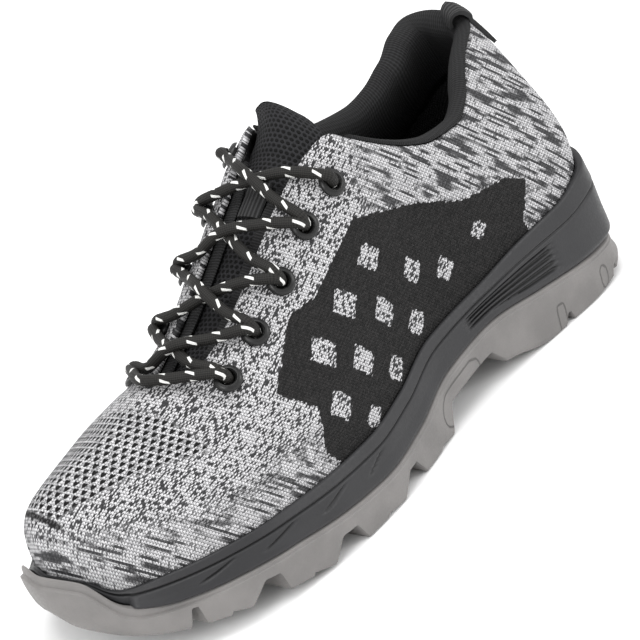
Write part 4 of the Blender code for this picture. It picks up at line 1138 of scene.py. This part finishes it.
def tongue_row(step):
    """Top and bottom points across the tongue"""
    at, low, arch, thick, past = (read_curve(TONGUE[name], step) for name in TONGUE_COLUMNS[1:])
    depth = UPPER_WALL + TRIM_GAP + TRIM_THICKNESS + 3 * GAP
    forward = Vector((-math.cos(TONGUE_LEAN), 0.0, math.sin(TONGUE_LEAN))) * past * TONGUE_PAST
    if at < THROAT_FRONT:
        left, right = ([under_knit(side * at, up, depth) for up in steps(low, 0.999, 6)] for side in (1, -1))
        row = left[:-1] + [(left[-1] + right[-1]) / 2] + right[-2::-1]
    else:
        ups = steps(low, 1.0, 3)
        left, right = ([under_knit(side * at, up, depth) + forward for up in ups] for side in (1, -1))
        crown = [left[3].lerp(right[3], share) for share in (0.0, 0.13, 0.27, 0.5, 0.73, 0.87, 1.0)]
        bend = (0.0, 0.42, 0.75, 1.0, 0.75, 0.42, 0.0)
        crown = [spot + THROAT_RISE * arch * TONGUE_ARCH * b for spot, b in zip(crown, bend)]
        row = left[:3] + crown + right[2::-1]
    if past > 0:
        hold = row[0].lerp(row[-1], TONGUE_HOLD)
        squeeze = 1.0 - 0.12 * fade(past, 0.0, 0.4) - 0.26 * past ** 4
        shift = Vector((0.0, -TONGUE_SHIFT * past ** 4, 0.0))
        row = [hold + (spot - hold) * squeeze + shift for spot in row]
    runs = [0.0]
    for before, after in zip(row, row[1:]):
        runs.append(runs[-1] + (after - before).length)
    even = []
    for i in range(TONGUE_ACROSS):
        run = runs[-1] * i / (TONGUE_ACROSS - 1)
        j = min(max(bisect.bisect_right(runs, run) - 1, 0), len(row) - 2)
        span = max(runs[j + 1] - runs[j], 1e-9)
        even.append(row[j].lerp(row[j + 1], (run - runs[j]) / span))
    for _ in range(2):
        even = [even[0]] + [(a + b * 2 + c) / 4 for a, b, c in zip(even, even[1:], even[2:])] + [even[-1]]
    return even, thick


tongue_points, tongue_marks = [], []
tongue_run = 0.0
tongue_before = None
for step in steps(0, TONGUE_END, 56):
    even, thick = tongue_row(step)
    if tongue_before is not None:
        tongue_run += (even[TONGUE_ACROSS // 2] - tongue_before).length * MM
    tongue_before = even[TONGUE_ACROSS // 2]
    shares = steps(0, 1, TONGUE_ACROSS - 1)
    belly = [max(math.sin(math.pi * share), 0.0) ** 0.4 for share in shares]
    tip = math.sqrt(max(1 - max((step - 9.6) / 1.4, 0.0) ** 2.6, 0.0))
    bottom = [
        spot - THROAT_RISE * TONGUE_THICKNESS * max(thick * b * max(tip, 0.12), 0.08)
        for spot, b in zip(even, belly)
    ]
    crown = [spot - THROAT_RISE * 0.0018 * (1 - tip) for spot in even]
    loop = crown + bottom[::-1]
    tongue_points.append(loop + loop[:1])
    width = sum((b - a).length for a, b in zip(even, even[1:])) * MM
    across = [width * (share - 0.5) for share in shares]
    tongue_marks.append([(a, tongue_run) for a in across + across[::-1] + across[:1]])
tongue_mesh = lay_surface(tongue_points, tongue_marks)
close_surface(tongue_mesh)
air_mesh = Finish("black air mesh")
mesh_across, mesh_along = air_mesh.pattern()
MESH_PITCH = 2.3
mesh_row = mesh_along / (MESH_PITCH * 0.8)
mesh_u = (mesh_across / MESH_PITCH + mesh_row.math("FLOOR") * 0.5).math("FRACT") - 0.5
mesh_v = mesh_row.math("FRACT") - 0.5
mesh_ridge = air_mesh.ramp((mesh_u * mesh_u + mesh_v * mesh_v).math("SQRT"), 0.22, 0.42)
mesh_fibre = air_mesh.cloud(air_mesh.place(), 1500.0, 3.0)
fibre_tone = air_mesh.mix(mesh_fibre, (0.010, 0.010, 0.011), (0.028, 0.028, 0.030))
# Near black in the middle of each mesh cell: painted shade in the mesh's holes.
air_mesh.color(air_mesh.mix(mesh_ridge, (0.003, 0.003, 0.003), fibre_tone))
air_mesh.set(Roughness=0.9, Specular_IOR_Level=0.2)
air_mesh.bump(mesh_ridge + mesh_fibre * 0.2, 0.0006, 1.0)
tongue = piece_from(tongue_mesh, "tongue_pad", "tongue", ["tongue"], air_mesh.material)


# Eyelets: stamped and painted black rings, pressed through knit and tape from outside and rolled over behind.
# The lace goes down through the bore.
eyelet_paint = Finish("black eyelet paint")
paint_wear = eyelet_paint.cloud(eyelet_paint.place(), 400.0, 3.0)
eyelet_paint.color(eyelet_paint.mix(paint_wear, (0.004, 0.004, 0.004), (0.010, 0.010, 0.010)))
eyelet_paint.set(Roughness=eyelet_paint.ramp(paint_wear, 0.3, 0.7, 0.30, 0.42), Specular_IOR_Level=0.35)
# Section of the ring: radius and height in m, bore first
EYELET_SECTION = (
    (0.0026, -0.0046), (0.0026, 0.0004), (0.0028, 0.0012), (0.0034, 0.0017), (0.0041, 0.0016),
    (0.0048, 0.0011), (0.00525, 0.0004), (0.00525, 0.0001), (0.0036, 0.0001), (0.0035, -0.0002),
    (0.0035, -0.0046),
)


def seat_frame(place, up, lift=0.0):
    """Where an eyelet sits on the knit, with its axis along local Z"""
    away = upper_normal(place, up)
    turn = away.to_track_quat("Z", "X").to_matrix().to_4x4()
    turn.translation = upper_point(place, up) + away * lift
    return turn


for (side, number), seat in EYELETS.items():
    ring = bmesh.new()
    corners = [ring.verts.new((radius, 0.0, height)) for radius, height in EYELET_SECTION]
    edges = [ring.edges.new(pair) for pair in zip(corners, corners[1:] + corners[:1])]
    bmesh.ops.spin(
        ring, geom=corners + edges, cent=(0, 0, 0), axis=(0, 0, 1), angle=math.tau, steps=40, use_merge=True)
    bmesh.ops.recalc_face_normals(ring, faces=ring.faces)
    bmesh.ops.transform(ring, matrix=seat_frame(*seat, 0.0005), verts=ring.verts)
    piece_from(ring, f"eyelet_ring_{side}_{number + 1}", "eyelet", [f"eyelet_{side}_{number + 1}"],
               eyelet_paint.material, sharp=40)


# Lace: round braided cord, black with paired light flecks, through both front eyelets as a straight bar and
# then criss-crossed up to the top eyelets, where its ends go in.
LACE_DIAMETER = 0.0042
LACE_SIDES = 14
LACE_STEPS = 72
LACE_CROWN = 0.0030
LACE_CROSSING = 0.0017
# Path out of an eyelet: distance along its axis and towards the other eyelet
LACE_END = ((-0.0030, -0.0004), (0.0008, 0.0), (0.0032, 0.0016), (0.0042, 0.0052))


def smooth_line(points, count):
    """Even points along a smooth curve through the given ones"""
    ends = [points[0] * 2 - points[1]] + points + [points[-1] * 2 - points[-2]]
    line = []
    for i in range(count + 1):
        at = (len(points) - 1) * i / count
        j = min(int(at), len(points) - 2)
        s = at - j
        a, b, c, d = ends[j:j + 4]
        cubic = (a * 2 - b * 5 + c * 4 - d) * s * s + (b * 3 - a - c * 3 + d) * s ** 3
        line.append(b + ((c - a) * s + cubic) / 2)
    return line


def lace_route(start, end, over):
    """Out of one eyelet, over the throat, and into the other; over is +1 above a crossing, -1 below it"""
    clear = THROAT_RISE * (LACE_DIAMETER / 2 + 0.0011)
    spots, aways = [], []
    for seat in (start, end):
        place, up = EYELETS[seat]
        spots.append(upper_point(place, up))
        aways.append(upper_normal(place, up))
    if start[1] == end[1]:
        middle = [upper_point(THROAT_FRONT - 0.3, 1.0) + clear]
    else:
        edges = []
        for here, there in ((start, end), (end, start)):
            place, other = EYELETS[here][0], EYELETS[there][0]
            at = max(abs(place) + (abs(other) - abs(place)) * 0.22, THROAT_FRONT + 0.45)
            edges.append(upper_point(math.copysign(at, place), 1.0) + clear)
        crown = (edges[0] + edges[1]) / 2 + THROAT_RISE * (LACE_CROWN + over * LACE_CROSSING)
        middle = [edges[0], crown, edges[1]]
    ends = []
    for spot, away, goal in ((spots[0], aways[0], middle[0]), (spots[1], aways[1], middle[-1])):
        run = goal - spot
        run = (run - away * run.dot(away)).normalized()
        ends.append([spot + away * out + run * ahead for out, ahead in LACE_END])
    return ends[0] + middle + ends[1][::-1]


lace_mesh = bmesh.new()
lace_runs = [(("outer", 0), ("inner", 0), 0)]
for number in range(EYELET_COUNT - 1):
    way = 1 if number % 2 == 0 else -1
    lace_runs.append((("inner", number), ("outer", number + 1), way))
    lace_runs.append((("outer", number), ("inner", number + 1), -way))
lace_length = 0.0
for start, end, over in lace_runs:
    line = smooth_line(lace_route(start, end, over), LACE_STEPS)
    rings, marks = [], []
    beside = None
    for i, spot in enumerate(line):
        ahead = (line[min(i + 1, LACE_STEPS)] - line[max(i - 1, 0)]).normalized()
        if beside is None:
            beside = ahead.cross(THROAT_RISE).normalized()
        beside = (beside - ahead * beside.dot(ahead)).normalized()
        up_side = beside.cross(ahead)
        if i:
            lace_length += (spot - line[i - 1]).length
        ring, mark = [], []
        for k in range(LACE_SIDES + 1):
            angle = math.tau * k / LACE_SIDES
            ring.append(spot + (beside * math.cos(angle) + up_side * math.sin(angle)) * LACE_DIAMETER / 2)
            mark.append((lace_length * MM, k / LACE_SIDES))
        rings.append(ring)
        marks.append(mark)
    tube = lay_surface(rings, marks)
    close_surface(tube)
    pour(tube, lace_mesh)
braid = Finish("flecked lace braid")
lace_along, lace_round = braid.pattern()
strand_turn = lace_round * 8.0
strand_run = lace_along / 1.5
strand_left = ((strand_turn + strand_run) * math.tau).math("SINE")
strand_right = ((strand_turn - strand_run) * math.tau).math("SINE")
weave = strand_left * strand_right
fleck_turn = (lace_round * 2.0 + lace_along / 14.0) * 2.0
fleck_run = (lace_along / 12.0 + fleck_turn.math("FLOOR") * 0.12).math("FRACT")
fleck_band = braid.ramp(fleck_run, 0.0, 0.03) * braid.ramp(fleck_run, 0.27, 0.30, 1.0, 0.0)
fleck_edge = (fleck_turn.math("FRACT") - 0.5).math("ABSOLUTE")
fleck = fleck_band * braid.ramp(fleck_edge, 0.14, 0.20, 1.0, 0.0)
# Darker where the braid's strands sink between each other: painted shade between the strands.
cord_black = braid.mix(braid.ramp(weave, -1.0, 1.0), (0.005, 0.005, 0.005), (0.020, 0.019, 0.017))
braid.color(braid.mix(fleck, cord_black, (0.72, 0.72, 0.70)))
braid.set(Roughness=0.6, Specular_IOR_Level=0.2)
braid.bump(weave, 0.00012, 0.6)
piece_from(lace_mesh, "braided_lace", "lace", ["lace"], braid.material)


# Tongue loop: a short piece of ribbed webbing sewn across the tongue, which keeps the lace from sliding off.
KEEPER_STEP = 6
KEEPER_FRONT = 8.8
KEEPER_BACK = 9.3


def loop_row(at):
    even, _ = tongue_row(KEEPER_STEP + (at - KEEPER_FRONT) / (KEEPER_BACK - KEEPER_FRONT))
    span = even[TONGUE_ACROSS // 2 - 3:TONGUE_ACROSS // 2 + 4]
    under = [spot + THROAT_RISE * 0.0002 for spot in span]
    over = [spot + THROAT_RISE * 0.0014 for spot in span]
    loop = under + over[::-1]
    return loop + loop[:1]


loop_points = [loop_row(at) for at in steps(KEEPER_FRONT, KEEPER_BACK, 14)]
loop_marks = [[(i * 1.0, j * 1.4) for j in range(len(row))] for i, row in enumerate(loop_points)]
loop_mesh = lay_surface(loop_points, loop_marks)
close_surface(loop_mesh)
webbing = Finish("black ribbed webbing")
_, rib_across = webbing.pattern()
webbing_rib = (rib_across * 4.4).math("SINE")
# Darker where the ribs sink: painted shade between the ribs.
webbing.color(webbing.mix(webbing.ramp(webbing_rib, -1.0, 1.0), (0.010, 0.010, 0.010), (0.040, 0.040, 0.041)))
webbing.set(Roughness=0.75, Specular_IOR_Level=0.25)
webbing.bump(webbing_rib, 0.0003, 0.8)
piece_from(loop_mesh, "lace_keeper", "webbing", ["tongue_loop"], webbing.material, sharp=50)


# Heel tab: a strip of black webbing sewn up the back of the heel, looped over the cuff to pull the shoe on.
TAB_THICKNESS = 0.0015


def tab_section(place):
    top = upper_point(place, 1.0)
    away = upper_normal(place, 1.0)
    rise = (upper_point(place, 1.0) - upper_point(place, 0.96)).normalized()
    crest_rise = CUFF_ROLL * 1.1 + GAP
    ups = steps(0.75, 1.0, 6)
    outer = [under_knit(place, up, -GAP - TAB_THICKNESS) for up in ups]
    inner = [under_knit(place, up, -GAP) for up in ups]
    loop = (
        (0.55 * crest_rise, 0.0012, 0.0030, 0.0),
        (crest_rise + 0.0014, 0.0008, 0.0026, 0.0003),
        (crest_rise + 0.0030, -0.0001, 0.0014, TAB_THICKNESS * 0.8),
        (crest_rise + 0.0037, -0.0014, -0.0008, TAB_THICKNESS),
        (crest_rise + 0.0036, -0.0028, -0.0026, TAB_THICKNESS),
        (crest_rise + 0.0026, -0.0040, -0.0044, TAB_THICKNESS * 0.8),
        (crest_rise + 0.0004, -0.0050, -0.0066, 0.0),
    )
    for height, near, out, over in loop:
        inner.append(top + rise * height + away * near)
        outer.append(top + rise * (height + over) + away * out)
    ring = outer + inner[::-1]
    return ring + ring[:1]


tab_places = [14.66, 14.71, 14.77, 14.83, 14.89, 14.95, 15.0, -14.98]
tab_points = [tab_section(place) for place in tab_places]
tab_runs = length_marks(tab_points)
tab_marks = [[(run, i * 1.3) for run in tab_runs[4]] for i in range(len(tab_points))]
tab_mesh = lay_surface(tab_points, tab_marks)
close_surface(tab_mesh)
piece_from(tab_mesh, "pull_tab", "webbing", ["heel_tab"], webbing.material, sharp=60)


# Studio: a white floor that runs out of sight, soft light from above and both sides, and a camera at the
# height and turn that the shoe is seen from, tilted so that the toe points down to the left.
floor_mesh = bmesh.new()
bmesh.ops.create_grid(floor_mesh, x_segments=1, y_segments=1, size=6.0)
floor_data = bpy.data.meshes.new("floor")
floor_mesh.to_mesh(floor_data)
floor_mesh.free()
floor = bpy.data.objects.new("floor", floor_data)
bpy.context.scene.collection.objects.link(floor)
paper = Finish("white paper floor")
paper.color(paper.mix(paper.cloud(paper.place(), 3.0), (0.90, 0.90, 0.90), (0.92, 0.92, 0.92)))
paper.set(Roughness=0.9)
floor_data.materials.append(paper.material)

world = bpy.data.worlds.new("studio")
bpy.context.scene.world = world
world.use_nodes = True
world.node_tree.nodes["Background"].inputs["Color"].default_value = (1.0, 1.0, 1.0, 1.0)
world.node_tree.nodes["Background"].inputs["Strength"].default_value = 1.05
bpy.context.scene.view_settings.view_transform = "Standard"


def soft_light(name, place, size, power):
    lamp = bpy.data.lights.new(name, "AREA")
    lamp.shape = "DISK"
    lamp.size = size
    lamp.energy = power
    holder = bpy.data.objects.new(name, lamp)
    holder.location = place
    holder.rotation_euler = (Vector((0.0, 0.0, 0.05)) - Vector(place)).to_track_quat("-Z", "Y").to_euler()
    bpy.context.scene.collection.objects.link(holder)


soft_light("overhead", (0.1, 0.1, 1.3), 1.2, 11.0)
soft_light("toe side", (1.2, 0.3, 0.7), 0.7, 7.0)
soft_light("heel side", (-0.9, 1.0, 0.6), 0.6, 5.0)

CAMERA_PLACE = Vector((0.9143, 0.9561, 0.7001))
CAMERA_RIGHT = Vector((-0.602208, 0.755865, -0.256930))
CAMERA_UP = Vector((-0.498922, -0.105085, 0.860253))
camera = bpy.data.cameras.new("camera")
camera.sensor_width = 36.0
camera.lens = 232.56
camera.clip_start = 0.05
camera_holder = bpy.data.objects.new("camera", camera)
camera_turn = Matrix((CAMERA_RIGHT, CAMERA_UP, CAMERA_RIGHT.cross(CAMERA_UP))).transposed().to_4x4()
camera_turn.translation = CAMERA_PLACE
camera_holder.matrix_world = camera_turn
bpy.context.scene.collection.objects.link(camera_holder)
bpy.context.scene.camera = camera_holder
